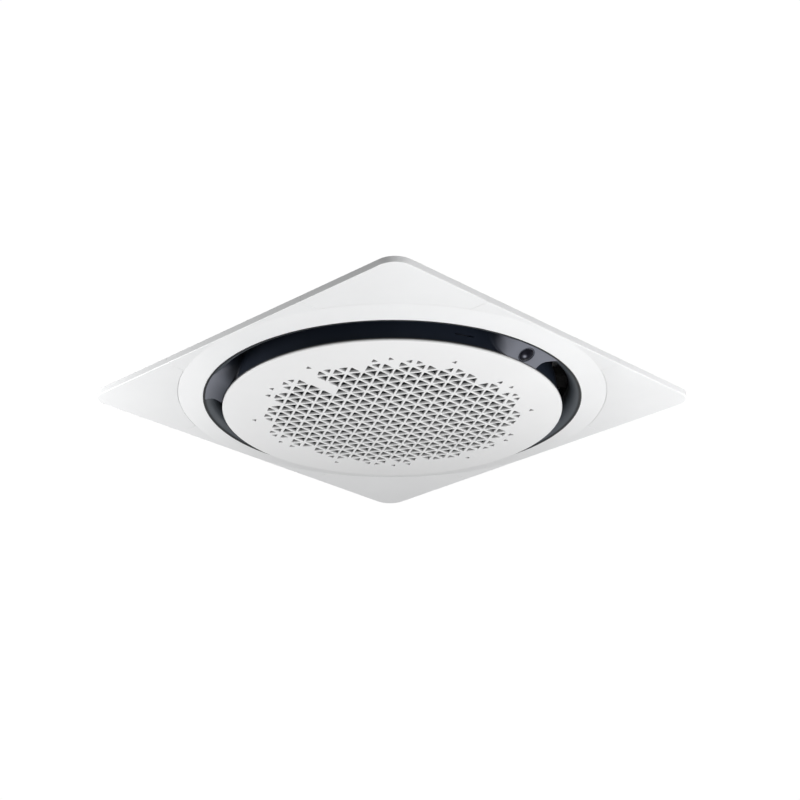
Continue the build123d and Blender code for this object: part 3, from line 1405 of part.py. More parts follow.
def write_air_path():
    write("bell_mouth", bell_mouth())
    write("turbo_fan", turbo_fan())
    write("fan_motor", fan_motor())
    write("motor_shaft", motor_shaft())
    write("fan_nut", fan_nut())
    write_group("motor_rubbers", motor_rubbers())
    write_group("motor_screws", motor_screws())
    write("coil_fins", coil_fins())
    write_group("coil_tubes", coil_tubes())
    write_group("coil_end_plates", coil_end_plates())
    header_top = tube_heights()[-1]
    write("gas_pipe", pipe(GAS_PIPE_R, GAS_PIPE_Y, GAS_PIPE_Z, TUBE_FIRST_Z, header_top))
    write("liquid_pipe", pipe(LIQUID_PIPE_R, LIQUID_PIPE_Y, LIQUID_PIPE_Z, TUBE_FIRST_Z, header_top))
    write_group("flare_nuts", [
        flare_nut(GAS_PIPE_R, GAS_PIPE_Y, GAS_PIPE_Z, GAS_NUT_FLATS),
        flare_nut(LIQUID_PIPE_R, LIQUID_PIPE_Y, LIQUID_PIPE_Z, LIQUID_NUT_FLATS),
    ])


def write_water_path():
    write("drain_pan", drain_pan())
    write("pump_body", pump_body())
    write("pump_impeller", pump_impeller())
    write("drain_spigot", drain_spigot())
    write("float_stem", float_stem())
    write("float_ring", float_ring())


def write_controls():
    write("control_box", control_box())
    write("control_cover", control_cover())
    write("circuit_board", circuit_board())
    write("terminal_block", terminal_block())


os.makedirs("parts", exist_ok=True)
write_panel()
write_boosters()
write_casing()
write_air_path()
write_water_path()
write_controls()
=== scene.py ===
"""Looks of a ceiling cassette air conditioner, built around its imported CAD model.

Heights in this file are millimetres above the ceiling's lower surface, as in the
CAD source, and up() turns one into metres in the row frame.
"""

import math

import bmesh
import bpy
from mathutils import Matrix, Vector, geometry


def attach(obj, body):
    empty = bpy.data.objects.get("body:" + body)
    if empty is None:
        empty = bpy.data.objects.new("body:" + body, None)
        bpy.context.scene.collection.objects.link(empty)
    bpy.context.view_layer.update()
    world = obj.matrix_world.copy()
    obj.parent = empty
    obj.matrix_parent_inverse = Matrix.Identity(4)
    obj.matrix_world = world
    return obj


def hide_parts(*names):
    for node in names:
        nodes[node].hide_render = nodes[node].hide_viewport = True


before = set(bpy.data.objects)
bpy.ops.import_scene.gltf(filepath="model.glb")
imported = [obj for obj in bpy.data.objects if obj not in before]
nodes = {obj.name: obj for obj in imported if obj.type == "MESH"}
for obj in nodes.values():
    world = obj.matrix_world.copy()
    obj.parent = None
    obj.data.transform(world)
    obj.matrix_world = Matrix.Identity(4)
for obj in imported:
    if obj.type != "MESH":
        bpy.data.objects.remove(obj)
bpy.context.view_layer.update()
scene = bpy.context.scene

MM = 0.001
HANGER_HEIGHT = 120.0
ON_AXIS = 0.01
SORT_ALONG = Vector((1.0, 1.618, 2.718))

# ---------------------------------------------------------------- sizes shared with the CAD
GRILLE_R = 395.4
GRILLE_EDGE_Z = -50.4
GRILLE_DOME = 15.1
GRILLE_SHELL = 3.2
GRILLE_RIM_TOP = -43.0
GRILLE_RIM_WALL = 4.4
DEEP_R = 330.0
DEEP = 9.0
SHALLOW = 6.6
SHALLOW_R = 296.0
CELL_PITCH = 37.5
CELL_WEB = 4.2
CELL_FULL_R = 260.0
CELL_SMALL_R = 312.0
CELL_SMALL_SCALE = 0.44
CELL_SOLID_R = 278.0
BARE_BAND_START = 206.0
FILTER_R = 321.2
FILTER_BOTTOM = -36.0
FILTER_SEAT_R = 318.5
FILTER_WALL_R = 323.5
FILTER_WALL_TOP = -31.0
HINGE_X = 52.0
HINGE_Y = 393.0
HINGE_Z = -38.0
HINGE_EYE_R = 4.0
HINGE_KNUCKLE_WIDTH = 12.0
LATCH_X = 60.0
LATCH_WIDTH = 12.0
LATCH_GAP = 0.4
DUCT_TOP = 84.0
CORE_BOTTOM = -43.0
CORE_TOP = 24.0
CORE_BOTTOM_R = 388.8
CORE_TOP_R = 382.2
THROAT_R = 412.0
THROAT_HEIGHT = 10.0
FLARE_R = 35.625
BRIDGE_ANGLES = (0.0, 120.0, -120.0)
BRIDGE_HALF_ANGLE = 13.0
BRIDGE_GAP = 0.3
BRIDGE_TOP = 21.0


def up(height):
    """Metres in the row frame for a height in millimetres above the ceiling."""
    return (height - HANGER_HEIGHT) * MM


def at(x, y, height):
    """A point in metres from millimetres, with its height above the ceiling."""
    return Vector((x * MM, y * MM, up(height)))


# ================================================================ mesh helpers
def add_mesh(name, points, faces, smooth=True):
    """A new object from points in metres and faces."""
    mesh = bpy.data.meshes.new(name)
    mesh.from_pydata([tuple(p) for p in points], [], faces)
    mesh.validate()
    for polygon in mesh.polygons:
        polygon.use_smooth = smooth
    piece = bpy.data.objects.new(name, mesh)
    scene.collection.objects.link(piece)
    return piece


def from_bmesh(name, bm, smooth_angle=None):
    """A new object from a bmesh, smooth where edges turn less than smooth_angle degrees."""
    # A bevel leaves what it makes in an order that changes from run to run.
    bm.verts.sort(key=lambda vert: vert.co.dot(SORT_ALONG))
    bm.faces.sort(key=lambda face: face.calc_center_median().dot(SORT_ALONG))
    bmesh.ops.recalc_face_normals(bm, faces=bm.faces)
    if smooth_angle is not None:
        limit = math.radians(smooth_angle)
        for face in bm.faces:
            face.smooth = True
        for edge in bm.edges:
            edge.smooth = len(edge.link_faces) == 2 and edge.calc_face_angle(0) < limit
    mesh = bpy.data.meshes.new(name)
    bm.to_mesh(mesh)
    bm.free()
    piece = bpy.data.objects.new(name, mesh)
    scene.collection.objects.link(piece)
    return piece


def lathe(bm, outline, segments, start, sweep):
    """Turn a closed outline of (radius, height) points part of the way round the unit's axis."""
    rings = []
    for k in range(segments + 1):
        angle = math.radians(start + sweep * k / segments)
        c, s = math.cos(angle), math.sin(angle)
        rings.append([bm.verts.new(at(r * c, r * s, z)) for r, z in outline])
    size = len(outline)
    for a, b in zip(rings, rings[1:]):
        for i in range(size):
            j = (i + 1) % size
            bm.faces.new((a[i], b[i], b[j], a[j]))
    bm.faces.new(rings[0])
    bm.faces.new(list(reversed(rings[-1])))


def tube_solid(bm, outline, place, segments):
    """Turn an open outline of (radius, height) points about the axis of place's frame.

    The outline starts and ends next to the axis, and a small face closes each end.
    """
    rings = []
    for k in range(segments):
        angle = math.radians(360.0 * k / segments)
        c, s = math.cos(angle), math.sin(angle)
        rings.append([
            bm.verts.new(place @ Vector((r * c * MM, r * s * MM, z * MM))) for r, z in outline
        ])
    size = len(rings[0])
    for k in range(segments):
        a, b = rings[k], rings[(k + 1) % segments]
        for i in range(size - 1):
            bm.faces.new((a[i], b[i], b[i + 1], a[i + 1]))
    bm.faces.new([ring[0] for ring in rings])
    bm.faces.new([ring[-1] for ring in reversed(rings)])


def box_solid(bm, x0, x1, y0, y1, z0, z1, bevel=0.0):
    """A box between heights z0 and z1, with its edges rounded."""
    verts = bmesh.ops.create_cube(bm, size=1.0)["verts"]
    for v in verts:
        v.co = at(x0 if v.co.x < 0 else x1, y0 if v.co.y < 0 else y1, z0 if v.co.z < 0 else z1)
    if bevel:
        edges = list({e for v in verts for e in v.link_edges})
        bmesh.ops.bevel(
            bm, geom=edges, offset=bevel * MM, offset_type="OFFSET",
            segments=2, profile=0.5, affect="EDGES",
        )


# ================================================================ material helpers
class Paint:
    """A principled material with its nodes, built a step at a time."""

    def __init__(self, name, colour, roughness, metallic=0.0, **constants):
        self.material = bpy.data.materials.new(name)
        self.material.use_nodes = True
        self.tree = self.material.node_tree
        self.shader = self.tree.nodes["Principled BSDF"]
        self.shader.inputs["Base Color"].default_value = (*colour, 1.0)
        self.shader.inputs["Roughness"].default_value = roughness
        self.shader.inputs["Metallic"].default_value = metallic
        for socket, value in constants.items():
            self.shader.inputs[socket.replace("_", " ")].default_value = value
        self.place = self.tree.nodes.new("ShaderNodeTexCoord").outputs["Object"]
        self.height = None

    def node(self, kind, inputs=(), **settings):
        made = self.tree.nodes.new(kind)
        for key, value in settings.items():
            setattr(made, key, value)
        for socket, value in dict(inputs).items():
            if isinstance(value, bpy.types.NodeSocket):
                self.tree.links.new(value, made.inputs[socket])
            else:
                made.inputs[socket].default_value = value
        return made

    def stretched(self, scale):
        """Object coordinates scaled differently along the three axes."""
        stretch = {"Vector": self.place, "Scale": scale}
        return self.node("ShaderNodeMapping", stretch).outputs["Vector"]

    def noise(self, scale, detail=2.0, roughness=0.5, place=None):
        """Soft noise from 0 to 1."""
        return self.node("ShaderNodeTexNoise", {
            "Vector": place or self.place, "Scale": scale, "Detail": detail, "Roughness": roughness,
        }).outputs["Fac"]

    def cells(self, scale, output="Distance"):
        """A pattern of grains: the distance from their middles, or a colour for each."""
        grains = {"Vector": self.place, "Scale": scale, "Randomness": 1.0}
        return self.node("ShaderNodeTexVoronoi", grains, feature="F1").outputs[output]

    def painted_light(self):
        """How much painted light a mesh keeps at each point: painted shade on the disc and bridges,
        a painted glint on the lens.
        """
        return self.node("ShaderNodeAttribute", attribute_name="depth").outputs["Fac"]

    def climb(self, low, high):
        """From 0 to 1 between two heights."""
        height = self.node("ShaderNodeSeparateXYZ", {"Vector": self.place}).outputs["Z"]
        span = {"Value": height, "From Min": up(low), "From Max": up(high)}
        return self.node("ShaderNodeMapRange", span).outputs["Result"]

    def ramp(self, source, *stops):
        """A colour ramp; a stop is (place, colour), and a number stands for grey."""
        made = self.node("ShaderNodeValToRGB", {"Fac": source})
        ramp = made.color_ramp
        while len(ramp.elements) < len(stops):
            ramp.elements.new(0.5)
        for element, (place, colour) in zip(ramp.elements, stops):
            element.position = place
            grey = not hasattr(colour, "__len__")
            element.color = (colour, colour, colour, 1.0) if grey else (*colour, 1.0)
        return made.outputs["Color"]

    def mixed(self, share, first, second, blend="MIX"):
        """The first colour where share is 0 and the second, or their blend, where it is 1."""
        made = self.node("ShaderNodeMix", (), data_type="RGBA", blend_type=blend)
        for k, value in ((0, share), (6, first), (7, second)):
            socket = made.inputs[k]
            if isinstance(value, bpy.types.NodeSocket):
                self.tree.links.new(value, socket)
            elif hasattr(value, "__len__"):
                socket.default_value = (*value, 1.0)
            else:
                socket.default_value = value
        return made.outputs[2]

    def colour(self, source):
        self.tree.links.new(source, self.shader.inputs["Base Color"])

    def plain_colour(self):
        """What feeds the base colour so far."""
        return self.shader.inputs["Base Color"].links[0].from_socket

    def rough(self, source, low, high):
        """Roughness from low to high where the source goes from 0 to 1."""
        made = self.node("ShaderNodeMapRange", {"Value": source, "To Min": low, "To Max": high})
        self.tree.links.new(made.outputs["Result"], self.shader.inputs["Roughness"])

    def bump(self, source, depth, strength=1.0):
        """Relief of so many millimetres, on top of what is there already."""
        inputs = {"Height": source, "Distance": depth * MM, "Strength": strength}
        if self.height is not None:
            inputs["Normal"] = self.height
        self.height = self.node("ShaderNodeBump", inputs).outputs["Normal"]
        self.tree.links.new(self.height, self.shader.inputs["Normal"])


finish = {}


def plastic(name, base, grain, gloss, **constants):
    """A moulded plastic: soft colour drift, a fine texture and uneven gloss.

    grain is the colour's spread and the texture's scale and depth in millimetres. gloss is
    the scale and detail of its noise, and the lowest and highest roughness.
    """
    spread, fine, depth = grain
    scale, detail, smoothest, roughest = gloss
    paint = Paint(name, base, roughest, **constants)
    low = tuple(c * (1 - spread) for c in base)
    high = tuple(min(1.0, c * (1 + spread)) for c in base)
    drift = paint.noise(7.0, 3.0)
    paint.colour(paint.ramp(drift, (0.35, low), (0.65, high)))
    paint.bump(paint.noise(fine, 2.0, 0.6), depth)
    paint.rough(paint.noise(scale, detail), smoothest, roughest)
    finish[name] = paint.material
    return paint


# ================================================================ materials
WHITE = (0.84, 0.845, 0.85)
DISC_WHITE = (0.86, 0.862, 0.865)
INK = (0.0125, 0.0165, 0.026)
SLATE = (0.150, 0.157, 0.185)
SLATE_GRAIN = (0.05, 900.0, 0.03)
SLATE_GLOSS = (60.0, 3.0, 0.42, 0.54)
# The flare's grey is a painted sheen on its dark plastic; its ramp runs between these heights.
FLARE_PAINTED_SHEEN = (0.106, 0.121, 0.139)
FLARE_LOW = -25.0
FLARE_HIGH = 5.0
# Colour of the painted glint on the lens dome.
PAINTED_GLINT = (0.27, 0.28, 0.33)
LENS_BLACK = (0.004, 0.004, 0.006)
# The liner below the duct top is dark: part dark skin, part painted shade inside the outlet.
DUCT_SKIN_AND_SHADE = (0.022, 0.023, 0.026)
DUCT_SKIN_AND_SHADE_EDGE = 4.0

# Painted shade: brightness of the disc's paint by the painted shade each point keeps, and of the
# flare's by height from its lip up, with a painted dark line at the lip and painted shade up into
# the slot.
DISC_SHADES = ((0.0, 1.0), (0.096, 0.80), (0.44, 0.48), (0.8, 0.20), (1.0, 0.04))
FLARE_SHADES = ((0.04, 0.12), (0.09, 1.0), (0.60, 1.0), (0.85, 0.75), (1.0, 0.4))


def make_whites():
    plastic("panel_white", WHITE, (0.010, 1400.0, 0.010), (40.0, 4.0, 0.36, 0.46), IOR=1.46)
    plastic("pipe_white", (0.78, 0.78, 0.76), (0.03, 900.0, 0.03), (40.0, 2.0, 0.42, 0.58))

    disc = plastic(
        "disc_white", DISC_WHITE, (0.008, 1600.0, 0.008), (55.0, 4.0, 0.33, 0.42), IOR=1.46
    )
    # Painted shade on the disc: hole walls, small holes, rim wall and back, by the value each point
    # keeps.
    shade = disc.ramp(disc.painted_light(), *DISC_SHADES)
    disc.colour(disc.mixed(1.0, disc.plain_colour(), shade, "MULTIPLY"))

    foam = Paint("foam_white", (0.88, 0.88, 0.87), 0.8)
    beads = foam.cells(240.0)
    bare_foam = foam.ramp(beads, (0.0, (0.91, 0.91, 0.90)), (0.75, (0.74, 0.74, 0.73)))
    # Below the duct top the liner is dark: part dark skin, part painted shade.
    above_duct = foam.climb(DUCT_TOP, DUCT_TOP + DUCT_SKIN_AND_SHADE_EDGE)
    foam.colour(foam.mixed(above_duct, DUCT_SKIN_AND_SHADE, bare_foam))
    foam.rough(beads, 0.62, 0.9)
    foam.bump(beads, 0.5)
    finish["foam_white"] = foam.material


def make_darks():
    plastic("outlet_dark", INK, (0.12, 1300.0, 0.012), (30.0, 4.0, 0.28, 0.40), IOR=1.5)
    plastic("bridge_grey", SLATE, SLATE_GRAIN, SLATE_GLOSS)
    plastic("rubber_black", (0.02, 0.02, 0.021), (0.25, 700.0, 0.05), (50.0, 2.0, 0.6, 0.8))
    plastic("fan_plastic", (0.045, 0.047, 0.052), (0.10, 800.0, 0.03), (25.0, 4.0, 0.38, 0.55))
    plastic("filter_net", (0.030, 0.032, 0.037), (0.15, 2500.0, 0.01), (200.0, 2.0, 0.42, 0.6))
    plastic("filter_grey", (0.10, 0.105, 0.115), (0.06, 1000.0, 0.02), (45.0, 2.0, 0.42, 0.58))

    # Painted sheen and shade on the flare: grey near the lip, a painted dark line at the lip,
    # painted shade up into the slot.
    flare = plastic(
        "outlet_flare", FLARE_PAINTED_SHEEN, (0.06, 1300.0, 0.012), (30.0, 4.0, 0.30, 0.42), IOR=1.5
    )
    shade = flare.ramp(flare.climb(FLARE_LOW, FLARE_HIGH), *FLARE_SHADES)
    flare.colour(flare.mixed(1.0, flare.plain_colour(), shade, "MULTIPLY"))

    # The bridges' grey fades to ink by the painted shade each point keeps.
    skin = plastic("bridge_skin", SLATE, SLATE_GRAIN, SLATE_GLOSS)
    skin.colour(skin.mixed(skin.painted_light(), skin.plain_colour(), INK))

    lens = Paint("lens_black", LENS_BLACK, 0.16, IOR=1.26)
    smoke = lens.ramp(lens.noise(90.0), (0.3, (0.003, 0.003, 0.006)), (0.7, (0.007, 0.007, 0.013)))
    # A painted glint: the lens turns pale where its dome keeps the soft spot.
    lens.colour(lens.mixed(lens.painted_light(), smoke, PAINTED_GLINT))
    lens.rough(lens.noise(400.0, 3.0), 0.14, 0.18)
    lens.bump(lens.noise(150.0), 0.004)
    finish["lens_black"] = lens.material

    seal = Paint("seal_foam", (0.035, 0.035, 0.037), 0.9)
    seal.colour(seal.ramp(seal.cells(900.0), (0.0, 0.012), (0.6, 0.05)))
    seal.bump(seal.cells(900.0), 0.3)
    finish["seal_foam"] = seal.material

    # The pan is near black: part its dark skin, part painted shade.
    pan = Paint("pan_skin_and_shade", (0.012, 0.0125, 0.014), 0.8, IOR=1.05)
    pan.colour(pan.ramp(pan.cells(170.0), (0.0, 0.008), (0.7, 0.016)))
    pan.bump(pan.cells(170.0), 0.25)
    finish["pan_grey"] = pan.material

    board = Paint("board_green", (0.02, 0.13, 0.06), 0.35)
    tracks = board.node("ShaderNodeTexBrick", {
        "Vector": board.place, "Scale": 120.0, "Mortar Size": 0.03,
        "Color1": (0.012, 0.11, 0.045, 1), "Color2": (0.018, 0.14, 0.06, 1),
        "Mortar": (0.05, 0.26, 0.12, 1),
    })
    board.colour(tracks.outputs["Color"])
    board.rough(board.noise(90.0), 0.28, 0.42)
    board.bump(tracks.outputs["Fac"], 0.03)
    finish["board_green"] = board.material


def make_metals():
    zinc = Paint("galvanised", (0.62, 0.64, 0.66), 0.38, 1.0)
    grains = zinc.cells(150.0, output="Color")
    tone = zinc.node("ShaderNodeSeparateColor", {"Color": grains}).outputs["Red"]
    cloud = zinc.noise(5.0, 4.0, 0.6)
    spangle = zinc.ramp(
        tone, (0.0, (0.44, 0.455, 0.47)), (0.5, (0.53, 0.545, 0.56)), (1.0, (0.62, 0.635, 0.65))
    )
    haze = zinc.ramp(cloud, (0.3, (0.46, 0.475, 0.49)), (0.7, (0.60, 0.61, 0.62)))
    zinc.colour(zinc.mixed(0.5, spangle, haze))
    zinc.rough(tone, 0.40, 0.52)
    zinc.bump(tone, 0.012)
    zinc.bump(zinc.noise(14.0, 2.0), 0.25, 0.35)
    finish["galvanised"] = zinc.material

    steel = Paint("bracket_steel", (0.58, 0.59, 0.60), 0.34, 1.0)
    brushed = steel.noise(300.0, 3.0, 0.6, steel.stretched((1.0, 1.0, 0.06)))
    steel.colour(steel.ramp(brushed, (0.3, (0.48, 0.49, 0.50)), (0.7, (0.66, 0.67, 0.68))))
    steel.rough(brushed, 0.26, 0.44)
    steel.bump(brushed, 0.02)
    finish["bracket_steel"] = steel.material

    screw = Paint("screw_steel", (0.55, 0.54, 0.50), 0.3, 1.0)
    patina = screw.noise(120.0, 3.0)
    screw.colour(screw.ramp(patina, (0.3, (0.42, 0.41, 0.37)), (0.7, (0.66, 0.65, 0.60))))
    screw.rough(screw.noise(260.0, 3.0), 0.2, 0.42)
    screw.bump(screw.noise(900.0), 0.01)
    finish["screw_steel"] = screw.material

    motor = Paint("motor_metal", (0.35, 0.36, 0.37), 0.42, 1.0)
    cast = motor.noise(450.0, 3.0, 0.7)
    motor.colour(motor.ramp(cast, (0.3, (0.27, 0.28, 0.29)), (0.7, (0.42, 0.43, 0.44))))
    motor.rough(cast, 0.34, 0.56)
    motor.bump(cast, 0.06)
    finish["motor_metal"] = motor.material

    fins = Paint("fin_aluminium", (0.72, 0.73, 0.74), 0.3, 1.0)
    rippled = fins.noise(60.0, 3.0, 0.5, fins.stretched((1.0, 1.0, 4.0)))
    fins.colour(fins.ramp(rippled, (0.3, (0.60, 0.61, 0.63)), (0.7, (0.80, 0.81, 0.82))))
    fins.rough(rippled, 0.22, 0.42)
    fins.bump(rippled, 0.05)
    finish["fin_aluminium"] = fins.material

    copper = Paint("copper", (0.78, 0.36, 0.20), 0.28, 1.0)
    stain = copper.noise(45.0, 5.0, 0.65)
    copper.colour(copper.ramp(
        stain, (0.25, (0.42, 0.18, 0.10)), (0.5, (0.72, 0.33, 0.19)), (0.75, (0.86, 0.44, 0.27))
    ))
    copper.rough(stain, 0.2, 0.42)
    copper.bump(copper.noise(600.0), 0.012)
    finish["copper"] = copper.material

    brass = Paint("brass", (0.72, 0.52, 0.22), 0.26, 1.0)
    turned = brass.noise(500.0, 2.0, 0.5, brass.stretched((3.0, 0.3, 0.3)))
    brass.colour(brass.ramp(turned, (0.3, (0.60, 0.42, 0.16)), (0.7, (0.80, 0.60, 0.28))))
    brass.rough(turned, 0.18, 0.36)
    brass.bump(turned, 0.015)
    finish["brass"] = brass.material


# ================================================================ camera
# Fitted to the photograph, in metres, degrees and pixels.
CAMERA_DISTANCE = 4.635216
CAMERA_AZIMUTH = 44.435
CAMERA_ELEVATION = 23.899
CAMERA_ROLL = -0.182
FOCAL_PIXELS = 1978.607
IMAGE_PIXELS = 800.0
SENSOR = 36.0
CLIP_NEAR = 0.05
CLIP_FAR = 100.0
PRINCIPAL_X = 392.213
PRINCIPAL_Y = 393.541


def make_camera():
    """The photograph's camera, below the ceiling and turned a little about its own axis."""
    azimuth, elevation = math.radians(CAMERA_AZIMUTH), math.radians(CAMERA_ELEVATION)
    roll = math.radians(CAMERA_ROLL)
    away = Vector((
        math.sin(azimuth) * math.cos(elevation),
        -math.cos(azimuth) * math.cos(elevation),
        -math.sin(elevation),
    ))
    right = (-away).cross(Vector((0, 0, 1))).normalized()
    upward = right.cross(-away).normalized()
    turned_right = right * math.cos(roll) + upward * math.sin(roll)
    turned_up = upward * math.cos(roll) - right * math.sin(roll)
    data = bpy.data.cameras.new("photo_camera")
    data.sensor_width = SENSOR
    data.lens = FOCAL_PIXELS * SENSOR / IMAGE_PIXELS
    data.shift_x = (IMAGE_PIXELS / 2 - PRINCIPAL_X) / IMAGE_PIXELS
    data.shift_y = (PRINCIPAL_Y - IMAGE_PIXELS / 2) / IMAGE_PIXELS
    data.clip_start = CLIP_NEAR
    data.clip_end = CLIP_FAR
    camera = bpy.data.objects.new("photo_camera", data)
    scene.collection.objects.link(camera)
    place = away * CAMERA_DISTANCE + Vector((0, 0, up(0)))
    axes = Matrix((turned_right, turned_up, away)).transposed()
    camera.matrix_world = Matrix.Translation(place) @ axes.to_4x4()
    scene.camera = camera


# ================================================================ stage and light
FLOOR_Z = -2.75
WALL_TOP = 20.0
STAGE_SIZE = 60.0
STAGE_CORNERS = ((-1, -1), (1, -1), (1, 1), (-1, 1))
CEILING_HOLE = 0.97
CEILING_LAYERS = (0.0002, 0.0004, 0.0006)
CEILING_LEVEL = 1.02
SURROUND_LEVEL = 0.8
SHADE_GREY = 0.05
BACK_GREY = 0.45
WORLD_LEVEL = 0.33
RAYS_BUT_CAMERA = ("visible_diffuse", "visible_glossy", "visible_transmission", "visible_shadow")


def stage_plane(name, z, facing_up, hole=0.0):
    """A big level plane, with a square hole in its middle if hole is the side of one."""
    far, near = STAGE_SIZE / 2, hole / 2
    corners = [(x * far, y * far, z) for x, y in STAGE_CORNERS]
    faces = [(0, 1, 2, 3)]
    if hole:
        corners += [(x * near, y * near, z) for x, y in STAGE_CORNERS]
        faces = [(k, (k + 1) % 4, 4 + (k + 1) % 4, 4 + k) for k in range(4)]
    if not facing_up:
        faces = [tuple(reversed(face)) for face in faces]
    plane = add_mesh(name, corners, faces, False)
    return plane


def stage_walls(name):
    """Four walls round the stage, from its floor to well above the unit, that face inwards."""
    far = STAGE_SIZE / 2
    points = [(x * far, y * far, z) for z in (FLOOR_Z, WALL_TOP) for x, y in STAGE_CORNERS]
    faces = [(4 + k, 4 + (k + 1) % 4, (k + 1) % 4, k) for k in range(4)]
    walls = add_mesh(name, points, faces, False)
    return walls


def one_sided(plane, shader_kind, level, settings):
    """Give a stage plane a grey shader on its front; rays pass through it from behind."""
    material = bpy.data.materials.new(plane.name)
    material.use_nodes = True
    tree = material.node_tree
    tree.nodes.clear()
    out = tree.nodes.new("ShaderNodeOutputMaterial")
    front = tree.nodes.new(shader_kind)
    front.inputs["Color"].default_value = (level, level, level, 1)
    for socket, value in settings.items():
        front.inputs[socket].default_value = value
    clear = tree.nodes.new("ShaderNodeBsdfTransparent")
    side = tree.nodes.new("ShaderNodeNewGeometry")
    mix = tree.nodes.new("ShaderNodeMixShader")
    tree.links.new(side.outputs["Backfacing"], mix.inputs["Fac"])
    tree.links.new(front.outputs[0], mix.inputs[1])
    tree.links.new(clear.outputs[0], mix.inputs[2])
    tree.links.new(mix.outputs[0], out.inputs["Surface"])
    plane.data.materials.append(material)


def backdrop(plane, strength):
    """A glowing plane that only the camera sees."""
    one_sided(plane, "ShaderNodeEmission", 1, {"Strength": strength})
    for flag in RAYS_BUT_CAMERA:
        setattr(plane, flag, False)


def screen(plane, grey):
    """A dull plane that stops and returns light and that the camera doesn't see."""
    one_sided(plane, "ShaderNodeBsdfDiffuse", grey, {})
    plane.visible_camera = False


def make_stage():
    """A white ceiling round the unit, its two sides as light meets them, pale floor and walls."""
    sight, shade, back = (up(0) + layer for layer in CEILING_LAYERS)
    backdrop(stage_plane("stage_ceiling", sight, False, CEILING_HOLE), CEILING_LEVEL)
    screen(stage_plane("stage_ceiling_shade", shade, False, CEILING_HOLE), SHADE_GREY)
    screen(stage_plane("stage_ceiling_back", back, True, CEILING_HOLE), BACK_GREY)
    backdrop(stage_plane("stage_floor", FLOOR_Z, True), SURROUND_LEVEL)
    backdrop(stage_walls("stage_walls"), SURROUND_LEVEL)

    world = bpy.data.worlds.new("studio")
    world.use_nodes = True
    background = world.node_tree.nodes["Background"]
    background.inputs["Color"].default_value = (1, 1, 1, 1)
    background.inputs["Strength"].default_value = WORLD_LEVEL
    scene.world = world


def soft_light(name, place, target, size, energy, mirrored=False):
    """A disc lamp; shiny surfaces show it only if mirrored."""
    data = bpy.data.lights.new(name, "AREA")
    data.shape = "DISK"
    data.size = size
    data.energy = energy
    light = bpy.data.objects.new(name, data)
    light.location = place
    light.rotation_euler = (Vector(target) - Vector(place)).to_track_quat("-Z", "Y").to_euler()
    light.visible_camera = False
    light.visible_glossy = mirrored
    scene.collection.objects.link(light)


def make_lights():
    """Lamps below for the panel, with energies fitted to the photograph, and two above."""
    middle = (0.0, 0.0, up(0))
    soft_light("left_low", (-1.1, -1.1, -0.5), middle, 0.7, 15.9, True)
    soft_light("right_low", (1.1, 1.1, -0.5), middle, 0.7, 8.6)
    soft_light("near_low", (2.0, -0.3, -1.2), middle, 1.2, 15.7)
    soft_light("near_key", (1.3, -0.5, -2.0), middle, 1.2, 17.6)
    soft_light("far_glint", (-0.75, 1.9, -1.28), middle, 0.5, 0.9, True)
    soft_light("top_key", (1.8, -1.6, 2.6), (0, 0, 0), 3.0, 42.0, True)
    soft_light("top_fill", (-2.2, 1.8, 2.0), (0, 0, 0), 3.0, 26.0, True)
    scene.view_settings.view_transform = "Standard"
    scene.view_settings.look = "None"


# ================================================================ intake disc
def dome_z(radius):
    """Height of the disc's lower face at a radius."""
    return GRILLE_EDGE_Z - GRILLE_DOME * (1 - (radius / GRILLE_R) ** 2)


def dome_normal(x, y):
    """Unit normal of the dome, pointing down and out."""
    slope = 2 * GRILLE_DOME / GRILLE_R ** 2
    return Vector((slope * x, slope * y, -1.0)).normalized()


def cell_scale(radius):
    """How large a hole is, as a share of a full one."""
    share = min(1.0, max(0.0, (radius - CELL_FULL_R) / (CELL_SMALL_R - CELL_FULL_R)))
    return 1.0 + (CELL_SMALL_SCALE - 1.0) * share


# The last holes thin out in a pattern that repeats six times round the disc.
# Each row is a radius and the angles, from 0 to 60 degrees, where a hole stands.
EDGE_HOLES = (
    (281, (28, 32)),
    (284, (8, 52)),
    (286, (19, 41)),
    (291, (45,)),
    (301, (26,)),
    (303, (22,)),
    (305, (7,)),
    (312, (14,)),
    (323, (40,)),
)
EDGE_PERIOD = 60
EDGE_R_SLACK = 1.2
EDGE_ANGLE_SLACK = 1.5
DEEPENING = 8.0


def has_hole(x, y, radius):
    """Whether a cell is open: all of them within the pattern, and single ones at its edge."""
    if radius < CELL_SOLID_R:
        return True
    angle = math.degrees(math.atan2(y, x)) % EDGE_PERIOD
    return any(
        abs(radius - edge_r) < EDGE_R_SLACK and abs(angle - place) < EDGE_ANGLE_SLACK
        for edge_r, places in EDGE_HOLES for place in places
    )


def back_z(radius):
    """Height of the top of the disc's ribs, which stand higher near the edge."""
    share = min(1.0, max(0.0, (radius - SHALLOW_R) / DEEPENING))
    return dome_z(radius) + SHALLOW + (DEEP - SHALLOW) * share


def lattice_point(i, j):
    """A point of the triangular lattice, whose rows run along Y."""
    c, s = math.cos(math.radians(30)), 0.5
    return CELL_PITCH * i * c, CELL_PITCH * (i * s + j)


def perforations():
    """Centre, turn and scale of every triangular hole."""
    row = CELL_PITCH * math.sqrt(3) / 2
    reach = int(2 * DEEP_R / row) + 2
    found = []
    for i in range(-reach, reach):
        for j in range(-reach, reach):
            for half in (0, 1):
                x, y = lattice_point(i + (1 + half) / 3, j + (1 + half) / 3)
                radius = math.hypot(x, y)
                bare = 0 < x < row and y < -BARE_BAND_START
                if radius < DEEP_R and has_hole(x, y, radius) and not bare:
                    found.append((x, y, 180 * half, cell_scale(radius)))
    return found


